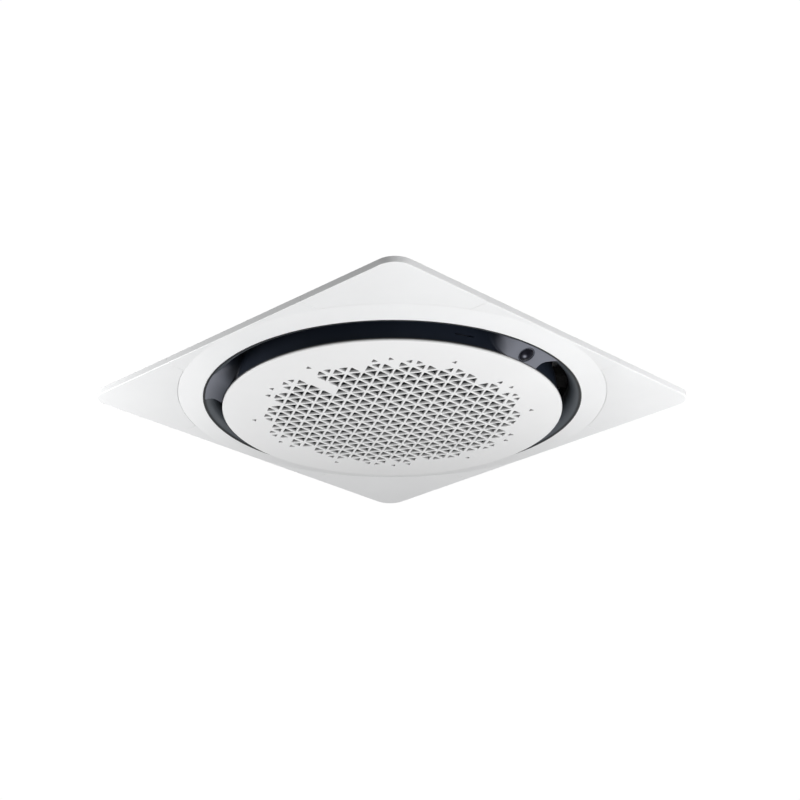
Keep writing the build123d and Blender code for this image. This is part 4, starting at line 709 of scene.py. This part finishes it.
UPWARD = Vector((0, 0, 1))
HOLE_ROUNDING = 1.9
SMALL_HOLE_ROUNDING = 0.45
LEAST_ROUNDING = 0.3
HOLE_CORNER_STEPS = 4
MOUTH_BEVEL = 0.55
MOUTH_STEPS = 3
WALL_DRAFT = 0.5
WALL_LEAN = 0.05
# Painted shade: the hole walls, the small holes' mouths and the disc's back are darkened by these
# amounts.
HOLE_SHADE = 0.8
SMALL_HOLE_SHADE = 0.75
BACK_SHADE = 0.6
LEAST_AREA = 1e-14


def hole_loop(x, y, turn, size, rounding):
    """A triangle with rounded corners: its points and outward directions."""
    points = []
    for k in range(3):
        angle = turn + 120 * k
        reach = size - 2 * rounding
        cx = x + reach * math.cos(math.radians(angle))
        cy = y + reach * math.sin(math.radians(angle))
        for step in range(HOLE_CORNER_STEPS + 1):
            a = math.radians(angle - 60 + 120 * step / HOLE_CORNER_STEPS)
            direction = (math.cos(a), math.sin(a))
            points.append((cx + rounding * direction[0], cy + rounding * direction[1], direction))
    return points


class Surface:
    """Points with their exact normals, and the faces between them."""

    def __init__(self):
        self.points = []
        self.normals = []
        self.painted_shades = []
        self.faces = []

    def add(self, point, normal, depth=0.0):
        """The id of a new point; depth is how much painted shade it gets, from 0 to 1."""
        self.points.append(point)
        self.normals.append(normal)
        self.painted_shades.append(depth)
        return len(self.points) - 1

    def piece(self, name):
        made = add_mesh(name, self.points, self.faces)
        made.data.normals_split_custom_set_from_vertices(self.normals)
        # The depth layer holds each point's painted shade.
        layer = made.data.attributes.new("depth", "FLOAT", "POINT")
        layer.data.foreach_set("value", self.painted_shades)
        return made


def flat_zone(surface, loops, inner_points, edge_loop, flip):
    """Fill a face between its holes: loops, edge_loop and inner_points are ids on the surface."""
    ids = []
    edges = []
    hole_of = {}
    for number, loop in enumerate(loops + [edge_loop]):
        start = len(ids)
        for k, point_id in enumerate(loop):
            ids.append(point_id)
            edges.append((start + k, start + (k + 1) % len(loop)))
            if number < len(loops):
                hole_of[start + k] = number
    ids.extend(inner_points)
    flat = [Vector((surface.points[k][0], surface.points[k][1])) for k in ids]
    made = geometry.delaunay_2d_cdt(flat, edges, [], 1, 1e-9)
    triangles = made[2]
    back = [source[0] for source in made[3]]
    for triangle in triangles:
        owners = {hole_of.get(back[v], -1) for v in triangle}
        if len(owners) == 1 and -1 not in owners:
            continue
        corners = [ids[back[v]] for v in triangle]
        a, b, c = (surface.points[v] for v in corners)
        area = (b[0] - a[0]) * (c[1] - a[1]) - (c[0] - a[0]) * (b[1] - a[1])
        if abs(area) < LEAST_AREA:
            continue
        turned = (area > 0) == flip
        surface.faces.append(tuple(reversed(corners)) if turned else tuple(corners))


def make_holes(surface):
    """The rounded mouth and tapered walls of every hole: the ids of their outer and inner edges."""
    size = CELL_PITCH / math.sqrt(3) - CELL_WEB
    mouths = []
    backs = []
    for x, y, turn, scale in perforations():
        rounding = HOLE_ROUNDING * (SMALL_HOLE_ROUNDING + (1 - SMALL_HOLE_ROUNDING) * scale)
        wall_size = size * scale
        # Small holes get painted shade in their mouths.
        mouth_shade = SMALL_HOLE_SHADE * (1 - scale)
        loops = []
        for step in range(MOUTH_STEPS + 1):
            angle = math.radians(90 * step / MOUTH_STEPS)
            grow = MOUTH_BEVEL * (1 - math.sin(angle))
            rise = MOUTH_BEVEL * (1 - math.cos(angle))
            loop = []
            for px, py, direction in hole_loop(x, y, turn, wall_size + 2 * grow, rounding + grow):
                below = dome_normal(px, py)
                side = Vector((-direction[0], -direction[1], 0.0))
                normal = (below * math.cos(angle) + side * math.sin(angle)).normalized()
                z = dome_z(math.hypot(px, py)) + rise
                loop.append(surface.add(at(px, py, z), normal, mouth_shade * math.sin(angle)))
            loops.append(loop)
        top = []
        draft = WALL_DRAFT * scale
        inner_rounding = max(LEAST_ROUNDING, rounding - draft)
        for px, py, direction in hole_loop(x, y, turn, wall_size - 2 * draft, inner_rounding):
            side = Vector((-direction[0], -direction[1], -WALL_LEAN)).normalized()
            top.append(surface.add(at(px, py, back_z(math.hypot(px, py))), side, HOLE_SHADE))
        loops.append(top)
        count = len(loops[0])
        for low, high in zip(loops, loops[1:]):
            for k in range(count):
                n = (k + 1) % count
                surface.faces.append((low[k], high[k], high[n], low[n]))
        mouths.append(loops[0])
        backs.append([surface.add(surface.points[k].copy(), UPWARD, BACK_SHADE) for k in top])
    return mouths, backs


def lattice_nodes(limit):
    """The lattice's points within a radius."""
    reach = int(2 * limit / CELL_PITCH) + 2
    places = (lattice_point(i, j) for i in range(-reach, reach) for j in range(-reach, reach))
    return [(x, y) for x, y in places if math.hypot(x, y) < limit]


DISC_SEGMENTS = 240
FACE_ZONE_R = 346.0
FACE_ROWS = (FACE_ZONE_R, 356, 366, 376, 384, 390)
RIM_ROUNDING = 3.4
RIM_STEPS = 6
RIM_ROWS = (-46.4, -45.8, -45.2, -44.6)
RIM_TOP_ROUNDING = 0.8
RIM_TOP_STEPS = 3
# Painted shade on the rim: the wall darkens up to RIM_SHADE_TOP, and the rounding by RIM_TURN as it
# faces out.
RIM_SHADE_TOP = -44.5
RIM_TURN = 0.3
BACK_ROW_R = 360
FACE_MARGIN = 6
BACK_MARGIN = 4


def make_disc():
    """The domed intake disc: perforated face, tapered hole walls, rounded rim and ribbed back."""
    surface = Surface()
    mouths, backs = make_holes(surface)

    def circle(radius, z, nr, nz, shade=0.0):
        loop = []
        for k in range(DISC_SEGMENTS):
            a = 2 * math.pi * k / DISC_SEGMENTS
            c, s = math.cos(a), math.sin(a)
            normal = Vector((nr * c, nr * s, nz)).normalized()
            loop.append(surface.add(at(radius * c, radius * s, z), normal, shade))
        return loop

    def profile_rings(profile):
        """Rings from (radius, height, normal radius part, normal height part), joined in turn."""
        rings = []
        for radius, z, nr, nz in profile:
            # Painted shade on the rim wall, and on the rounding where it turns outward.
            rise = min(1.0, max(0.0, (z - GRILLE_EDGE_Z) / (RIM_SHADE_TOP - GRILLE_EDGE_Z)))
            shade = max(rise * rise * (3 - 2 * rise), RIM_TURN * max(0.0, nr) ** 2)
            rings.append(circle(radius, z, nr, nz, shade))
        for a, b in zip(rings, rings[1:]):
            for k in range(DISC_SEGMENTS):
                n = (k + 1) % DISC_SEGMENTS
                surface.faces.append((a[k], a[n], b[n], b[k]))
        return rings

    def dome_row(radius):
        n = dome_normal(radius, 0)
        return radius, dome_z(radius), n.x, n.z

    front = [dome_row(r) for r in FACE_ROWS]
    slope = math.degrees(math.atan(2 * GRILLE_DOME * GRILLE_R / GRILLE_R ** 2))
    centre_r = GRILLE_R - RIM_ROUNDING
    centre_z = dome_z(centre_r) + RIM_ROUNDING
    for step in range(RIM_STEPS + 1):
        angle = math.radians(-90 + slope + (90 - slope) * step / RIM_STEPS)
        front.append((
            centre_r + RIM_ROUNDING * math.cos(angle), centre_z + RIM_ROUNDING * math.sin(angle),
            math.cos(angle), math.sin(angle),
        ))
    front += [(GRILLE_R, z, 1, 0) for z in RIM_ROWS]
    for step in range(RIM_TOP_STEPS + 1):
        angle = math.radians(90 * step / RIM_TOP_STEPS)
        front.append((
            GRILLE_R - RIM_TOP_ROUNDING + RIM_TOP_ROUNDING * math.cos(angle),
            GRILLE_RIM_TOP - RIM_TOP_ROUNDING + RIM_TOP_ROUNDING * math.sin(angle),
            math.cos(angle), math.sin(angle),
        ))
    inner_r = GRILLE_R - GRILLE_RIM_WALL
    front.append((inner_r, GRILLE_RIM_TOP, 0, 1))
    front_rings = profile_rings(front)
    profile_rings([
        (inner_r, GRILLE_RIM_TOP, -1, 0),
        (inner_r, dome_z(inner_r) + GRILLE_SHELL, -1, 0),
    ])
    profile_rings([(r, dome_z(r) + GRILLE_SHELL, 0, 1) for r in (inner_r, BACK_ROW_R, DEEP_R)])
    profile_rings([(DEEP_R, dome_z(DEEP_R) + rise, 1, 0) for rise in (GRILLE_SHELL, DEEP)])
    back_edge = circle(DEEP_R, dome_z(DEEP_R) + DEEP, 0, 1)

    inner = [
        surface.add(at(x, y, dome_z(math.hypot(x, y))), dome_normal(x, y))
        for x, y in lattice_nodes(FACE_ZONE_R - FACE_MARGIN)
    ]
    flat_zone(surface, mouths, inner, front_rings[0], True)
    inner = [
        surface.add(at(x, y, back_z(math.hypot(x, y))), UPWARD, BACK_SHADE)
        for x, y in lattice_nodes(DEEP_R - BACK_MARGIN)
    ]
    flat_zone(surface, backs, inner, back_edge, False)

    disc = surface.piece("intake_disc")
    disc.data.materials.append(finish["disc_white"])
    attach(disc, "grille")
    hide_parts("intake_grille")


SEAT_SINK = 0.6
SEAT_PLAY = 0.3
SEAT_CHAMFER = 0.5
SEAT_STEPS = (24, 200)
EYE_STEPS = 28
KNUCKLE_CHAMFER = 0.5
RIB_HALF = 0.8
RIB_INSET = 2.0
RIB_LENGTH = 26.0
RIB_DROP = 6.5
KNUCKLE_FOOT = 1.6
RIB_FOOT = 1.8


def make_disc_fittings():
    """The filter's seat, its latch notches and the hinge knuckles on the back of the disc."""
    bm = bmesh.new()
    base = dome_z(DEEP_R) + DEEP - SEAT_SINK
    notch = math.degrees(math.asin((LATCH_WIDTH / 2 + LATCH_GAP) / FILTER_WALL_R))
    latch_angle = math.degrees(math.asin(LATCH_X / FILTER_WALL_R))
    stops = [-90 - latch_angle, -90 + latch_angle]
    spans = [(stops[0] + notch, stops[1] - notch), (stops[1] + notch, stops[0] - notch + 360)]
    inner = FILTER_R + SEAT_PLAY
    shoulder = FILTER_WALL_TOP - SEAT_CHAMFER
    outline = [
        (FILTER_SEAT_R, base), (FILTER_WALL_R, base), (FILTER_WALL_R, shoulder),
        (FILTER_WALL_R - SEAT_CHAMFER, FILTER_WALL_TOP), (inner + SEAT_CHAMFER, FILTER_WALL_TOP),
        (inner, shoulder), (inner, FILTER_BOTTOM), (FILTER_SEAT_R, FILTER_BOTTOM),
    ]
    for (first, last), steps in zip(spans, SEAT_STEPS):
        lathe(bm, outline, steps, first, last - first)
    width = HINGE_KNUCKLE_WIDTH
    corner = HINGE_EYE_R - KNUCKLE_CHAMFER
    eye = [
        (ON_AXIS, 0), (corner, 0), (HINGE_EYE_R, KNUCKLE_CHAMFER),
        (HINGE_EYE_R, width - KNUCKLE_CHAMFER), (corner, width), (ON_AXIS, width),
    ]
    sideways = Matrix.Rotation(math.pi / 2, 4, "Y")
    for x in (-HINGE_X, HINGE_X):
        left, right = x - width / 2, x + width / 2
        tube_solid(bm, eye, Matrix.Translation(at(left, HINGE_Y, HINGE_Z)) @ sideways, EYE_STEPS)
        box_solid(
            bm, left, right, HINGE_Y - HINGE_EYE_R, HINGE_Y - 1,
            GRILLE_EDGE_Z + KNUCKLE_FOOT, HINGE_Z - 1, bevel=0.4,
        )
        for rib in (left + RIB_INSET, right - RIB_INSET):
            box_solid(
                bm, rib - RIB_HALF, rib + RIB_HALF, HINGE_Y - RIB_LENGTH, HINGE_Y - corner,
                GRILLE_EDGE_Z + RIB_FOOT, HINGE_Z - RIB_DROP, bevel=0.3,
            )
    piece = from_bmesh("disc_fittings", bm, 40)
    piece.data.materials.append(finish["disc_white"])
    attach(piece, "grille")


# ================================================================ bridges
BRIDGE_LIP_Z = -23.9
BRIDGE_MEAN_R = 405.0
SCOOP_REACH = 54.0
SCOOP_START = 13.0
ARCH_ANGLE = 8.0
ARCH_CORNER = 4.0
ARCH_WEIGHT = 4.0
ARCH_SWEEP_START = 0.45
ARCH_SWEEP_POWER = 1.6
ARCH_START = 0.6
SCOOP_STEPS = 26
BRIDGE_MIDDLE_STEPS = 16
# Painted shade on the bridges: the grey turns to ink up the ends and past the soft end, and the DIM
# values darken a whole bridge.
SHADE_RISE_START = 8.0
SHADE_RISE = 20.0
FADE_START = (5.5, 9.5)
FADE_END = (10.0, 13.0)
DIM_INNER = 1.13
DIM_OUTER = 0.18
DIM_MOST = 0.95

# Radius and height of the face's inner part, from the core ring to the ridge beside the disc.
HEEL = [
    (389.06, -42.6), (389.12, -42.6), (389.3, -42.6), (389.7, -42.6), (390.4, -42.6),
    (391.6, -42.6), (393.4, -42.6), (395.2, -42.6), (396.3, -42.62), (396.75, -42.8),
    (396.95, -43.2), (397.1, -44.4), (397.2, -45.3), (397.35, -45.95), (397.65, -46.3),
    (398.15, -46.3), (398.8, -45.95),
]
LIP_SHARES = (
    0.06, 0.13, 0.2, 0.28, 0.36, 0.44, 0.52, 0.6, 0.68,
    0.76, 0.83, 0.89, 0.94, 0.97, 0.985, 0.995, 1.0,
)
SIDE_STEPS = 7


def slot_inner_r(z):
    """The core ring's wall, as a bridge beside it has it."""
    share = (z - CORE_BOTTOM) / (CORE_TOP - CORE_BOTTOM)
    return CORE_BOTTOM_R + (CORE_TOP_R - CORE_BOTTOM_R) * share + BRIDGE_GAP


def slot_outer_r(z):
    """The flare's wall, as a bridge beside it has it."""
    drop = min(max(0.0, THROAT_HEIGHT - z), THROAT_HEIGHT - BRIDGE_LIP_Z)
    return THROAT_R + FLARE_R - math.sqrt((FLARE_R + BRIDGE_GAP) ** 2 - drop ** 2)


def bridge_width(face_r):
    """Where a column stands between the bridge's inner edge (0) and its outer edge (1)."""
    return (face_r - HEEL[0][0]) / (slot_outer_r(BRIDGE_LIP_Z) - HEEL[0][0])


def blend(pair, share):
    """From a pair's first value to its second."""
    return pair[0] + (pair[1] - pair[0]) * share


def soft_end(_, round_end, t):
    """Distance from the slot's end and drop for an end that scoops up gently."""
    angle = math.radians(90 * t)
    return round_end + (SCOOP_REACH - round_end) * (1 - math.cos(angle)), math.sin(angle)


def arched_end(share, round_end, t):
    """The same for the end that the slot cuts off in a round arch, at a column's share."""
    sweep = max(0.0, (share - ARCH_SWEEP_START) / (1 - ARCH_SWEEP_START)) ** ARCH_SWEEP_POWER
    edge = math.radians((BRIDGE_HALF_ANGLE - ARCH_ANGLE) * (1 - sweep)) * BRIDGE_MEAN_R
    first, middle, last = (1 - t) ** 2, 2 * ARCH_WEIGHT * t * (1 - t), t ** 2
    total = first + middle + last
    start = min(round_end, ARCH_START * edge)
    distance = (first * start + middle * edge + last * (edge + ARCH_CORNER)) / total
    return distance, (middle + last) / total


def bridge_column(face_r, face_z, t, end):
    """A column's point between an end (t 0) and the face (t 1).

    Returns its radius, distance from the slot's end and height, and its radius at the top.
    """
    wide = slot_outer_r(BRIDGE_LIP_Z)
    narrow = slot_outer_r(THROAT_HEIGHT)
    share = bridge_width(face_r)

    def radius(height, wall):
        inward = slot_inner_r(height) - slot_inner_r(face_z)
        return face_r + (1 - share) * inward + share * (wall - wide)

    top = radius(THROAT_HEIGHT, narrow)
    across = (top - slot_inner_r(THROAT_HEIGHT)) / (narrow - slot_inner_r(THROAT_HEIGHT))
    round_end = SCOOP_START * math.sqrt(max(0.0, 1 - (2 * across - 1) ** 2))
    distance, drop = end(share, round_end, t)
    z = THROAT_HEIGHT - (THROAT_HEIGHT - face_z) * drop
    outer = slot_outer_r(THROAT_HEIGHT - (THROAT_HEIGHT - BRIDGE_LIP_Z) * drop)
    return radius(z, outer), distance, z, top


def bridge_shade(share, past_middle, z, dim):
    """How far the grey is mixed to ink as painted shade: up the ends, past the soft end, and all
    over if dim.
    """
    rise = min(1.0, max(0.0, (z - BRIDGE_LIP_Z - SHADE_RISE_START) / SHADE_RISE))
    start, end = blend(FADE_START, share), blend(FADE_END, share)
    fade = min(1.0, max(0.0, (past_middle - start) / (end - start)))
    base = min(DIM_MOST, DIM_INNER - (DIM_INNER - DIM_OUTER) * share) if dim else 0.0
    return 1 - (1 - rise) * (1 - fade) * (1 - base)


def make_bridge(number, angle, arch_side, dim):
    """A cover over the outlet slot with a sloping face, one arched end and one soft end."""
    wide = slot_outer_r(BRIDGE_LIP_Z)
    last_r, last_z = HEEL[-1]
    profile = HEEL + [
        (last_r + (wide - last_r) * t, last_z + (BRIDGE_LIP_Z - last_z) * t) for t in LIP_SHARES
    ]
    ends = {arch_side: arched_end, -arch_side: soft_end}
    stops = [k / SCOOP_STEPS for k in range(SCOOP_STEPS + 1)]
    bm = bmesh.new()
    # Each point keeps its painted shade in this layer.
    depth = bm.verts.layers.float.new("depth")

    def vertex(r, degrees, z, share):
        a = math.radians(angle + degrees)
        made = bm.verts.new(at(r * math.cos(a), r * math.sin(a), z))
        made[depth] = bridge_shade(share, -arch_side * degrees, z, dim)
        return made

    def place(side, face_r, face_z, t):
        r, distance, z, top = bridge_column(face_r, face_z, t, ends[side])
        return r, side * (BRIDGE_HALF_ANGLE - math.degrees(distance / BRIDGE_MEAN_R)), z, top

    lower, upper = [], []
    rows = [(-1, t) for t in stops]
    rows += [(0, k / BRIDGE_MIDDLE_STEPS) for k in range(1, BRIDGE_MIDDLE_STEPS)]
    rows += [(1, t) for t in reversed(stops)]
    for side, t in rows:
        low_row, high_row = [], []
        for face_r, face_z in profile:
            if side:
                r, degrees, z, top = place(side, face_r, face_z, t)
            else:
                r, first, z, top = place(-1, face_r, face_z, 1.0)
                degrees = first + (place(1, face_r, face_z, 1.0)[1] - first) * t
            share = bridge_width(face_r)
            low_row.append(vertex(r, degrees, z, share))
            high_row.append(vertex(top, degrees, BRIDGE_TOP, share))
        lower.append(low_row)
        upper.append(high_row)
    width = len(profile)
    for a, b in zip(lower, lower[1:]):
        for k in range(width - 1):
            bm.faces.new((a[k], a[k + 1], b[k + 1], b[k]))
    for a, b in zip(upper, upper[1:]):
        for k in range(width - 1):
            bm.faces.new((a[k], b[k], b[k + 1], a[k + 1]))
    for row in (0, -1):
        for k in range(width - 1):
            bm.faces.new((lower[row][k], upper[row][k], upper[row][k + 1], lower[row][k + 1]))
    for column, wall in ((0, slot_inner_r), (-1, slot_outer_r)):
        strips = []
        for low_row, high_row in zip(lower, upper):
            low, high = low_row[column], high_row[column]
            a = math.degrees(math.atan2(low.co.y, low.co.x)) - angle
            z0 = low.co.z / MM + HANGER_HEIGHT
            strip = [low]
            for step in range(1, SIDE_STEPS):
                z = z0 + (BRIDGE_TOP - z0) * step / SIDE_STEPS
                strip.append(vertex(wall(z), a, z, 0.0))
            strips.append(strip + [high])
        for a, b in zip(strips, strips[1:]):
            for k in range(SIDE_STEPS):
                bm.faces.new((a[k], a[k + 1], b[k + 1], b[k]))
    piece = from_bmesh(f"bridge_cover_{number}", bm, 50)
    piece.data.materials.append(finish["bridge_skin"])
    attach(piece, "root")
    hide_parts(f"bridge_{number}")


# ================================================================ sensor eye
EYE_R = 19.7
EYE_RADIAL = 414.6
FACE_SLOPE = math.degrees(math.atan2(22.4, 37.0))
CUP_EDGE = 0.5
CUP_STEPS = 72
DOME_INSET = 2.6
DOME_RISE = 7.4
DOME_SINK = 0.9
DOME_STEPS = 16
# Place and size of the lens's painted glint, in millimetres across the dome.
PAINTED_GLINT_SPOT = (3.2, -7.0)
PAINTED_GLINT_SIZE = 3.3


def make_eye():
    """A black cup on the first bridge's face, with a polished dome that has a painted glint."""
    last_r, last_z = HEEL[-1]
    z = last_z + (EYE_RADIAL - last_r) * math.tan(math.radians(FACE_SLOPE))
    tilt = Matrix.Rotation(math.radians(180 - FACE_SLOPE), 4, "Y")
    place = Matrix.Translation(at(EYE_RADIAL, 0, z)) @ tilt
    cup = bmesh.new()
    rim = [(ON_AXIS, -1.0), (EYE_R - 0.4, -1.0)]
    for degrees in (0, 22, 45, 68, 90):
        a = math.radians(degrees)
        rim.append((EYE_R - CUP_EDGE + CUP_EDGE * math.cos(a), 0.3 + CUP_EDGE * math.sin(a)))
    rim += [(EYE_R - 1.5, 0.7), (EYE_R - 2.4, -0.1), (EYE_R - 3.0, -0.6), (ON_AXIS, -0.6)]
    tube_solid(cup, rim, place, CUP_STEPS)
    ring = from_bmesh("eye_cup", cup, 60)
    ring.data.materials.append(finish["outlet_dark"])
    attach(ring, "root")

    dome = bmesh.new()
    base_r = EYE_R - DOME_INSET
    ball_r = (base_r ** 2 + DOME_RISE ** 2) / (2 * DOME_RISE)
    half = math.asin(base_r / ball_r)
    bowl = [(ON_AXIS, -DOME_SINK), (base_r, -DOME_SINK)]
    for k in range(DOME_STEPS + 1):
        a = half * (1 - k / DOME_STEPS)
        bowl.append((max(ON_AXIS, ball_r * math.sin(a)), DOME_RISE - ball_r + ball_r * math.cos(a)))
    tube_solid(dome, bowl, place, CUP_STEPS)
    # The painted glint: each point of the dome keeps how pale its paint turns.
    pale = dome.verts.layers.float.new("depth")
    flat = place.inverted()
    for vert in dome.verts:
        spot = flat @ vert.co / MM
        away = math.hypot(spot.x - PAINTED_GLINT_SPOT[0], spot.y - PAINTED_GLINT_SPOT[1]) / PAINTED_GLINT_SIZE
        vert[pale] = math.exp(-away * away)
    lens = from_bmesh("eye_lens", dome, 50)
    lens.data.materials.append(finish["lens_black"])
    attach(lens, "root")
    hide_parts("sensor_lens")


# ================================================================ filter net
NET_PITCH = 1.9
NET_STRAND = 0.42
NET_Z = -33.0
NET_REACH = 312.0
NET_WEAVE = 0.16
NET_SHORTEST = 4.0


def make_net():
    """A fine woven net: of each two neighbouring strands one lies a little higher."""
    bm = bmesh.new()
    count = int(NET_REACH / NET_PITCH)
    half = NET_STRAND / 2
    for k in range(-count, count + 1):
        place = k * NET_PITCH
        length = math.sqrt(NET_REACH ** 2 - place ** 2)
        if length < NET_SHORTEST:
            continue
        lift = NET_WEAVE if k % 2 else -NET_WEAVE
        strand = (place - half, place + half)
        over, under = NET_Z + lift, NET_Z - lift
        box_solid(bm, *strand, -length, length, over - half / 2, over + half / 2)
        box_solid(bm, -length, length, *strand, under - half / 2, under + half / 2)
    piece = from_bmesh("filter_net", bm)
    piece.data.materials.append(finish["filter_net"])
    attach(piece, "grille")
    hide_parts("filter_mesh")


# ================================================================ CAD nodes that stay
NODE_FINISH = {
    "panel_white": [
        "panel_frame", "corner_cover_left_back", "corner_cover_left_front",
        "corner_cover_right_back", "corner_cover_right_front",
        "grille_latch_left", "grille_latch_right",
    ],
    "outlet_flare": ["outlet_ring"],
    "outlet_dark": ["core_ring"],
    "filter_grey": ["filter_frame"],
    "galvanised": [
        "casing_walls", "casing_lid", "pipe_plate", "control_box", "control_cover",
        "coil_end_plates",
    ],
    "bracket_steel": [f"hanger_bracket_{k}" for k in range(1, 5)],
    "screw_steel": ["panel_screws", "motor_screws", "hinge_pins", "motor_shaft", "fan_nut"],
    "foam_white": ["insulation_liner"],
    "pan_grey": ["drain_pan"],
    "seal_foam": ["outlet_seal", "intake_seal"],
    "fan_plastic": [
        "turbo_fan", "bell_mouth", "booster_housings", "booster_impeller_1",
        "booster_impeller_2", "booster_impeller_3", "pump_impeller",
    ],
    "motor_metal": ["fan_motor", "booster_motor_1", "booster_motor_2", "booster_motor_3"],
    "rubber_black": ["motor_rubbers", "cable_gland", "terminal_block", "float_ring"],
    "fin_aluminium": ["coil_fins"],
    "copper": ["coil_tubes", "gas_pipe", "liquid_pipe"],
    "brass": ["flare_nuts"],
    "board_green": ["circuit_board", "sensor_board"],
    "pipe_white": ["drain_spigot", "pump_body", "float_stem"],
}


def dress_nodes():
    """Give the CAD's own pieces their materials."""
    for name, members in NODE_FINISH.items():
        for member in members:
            materials = nodes[member].data.materials
            if len(materials):
                for k in range(len(materials)):
                    materials[k] = finish[name]
            else:
                materials.append(finish[name])


# ================================================================ build
make_whites()
make_darks()
make_metals()
make_camera()
make_stage()
make_lights()
dress_nodes()
make_disc()
make_disc_fittings()
make_bridge(1, BRIDGE_ANGLES[0], 1, False)
# Bridges 2 and 3 are dimmed all over with painted shade.
make_bridge(2, BRIDGE_ANGLES[1], 1, True)
make_bridge(3, BRIDGE_ANGLES[2], -1, True)
make_eye()
make_net()
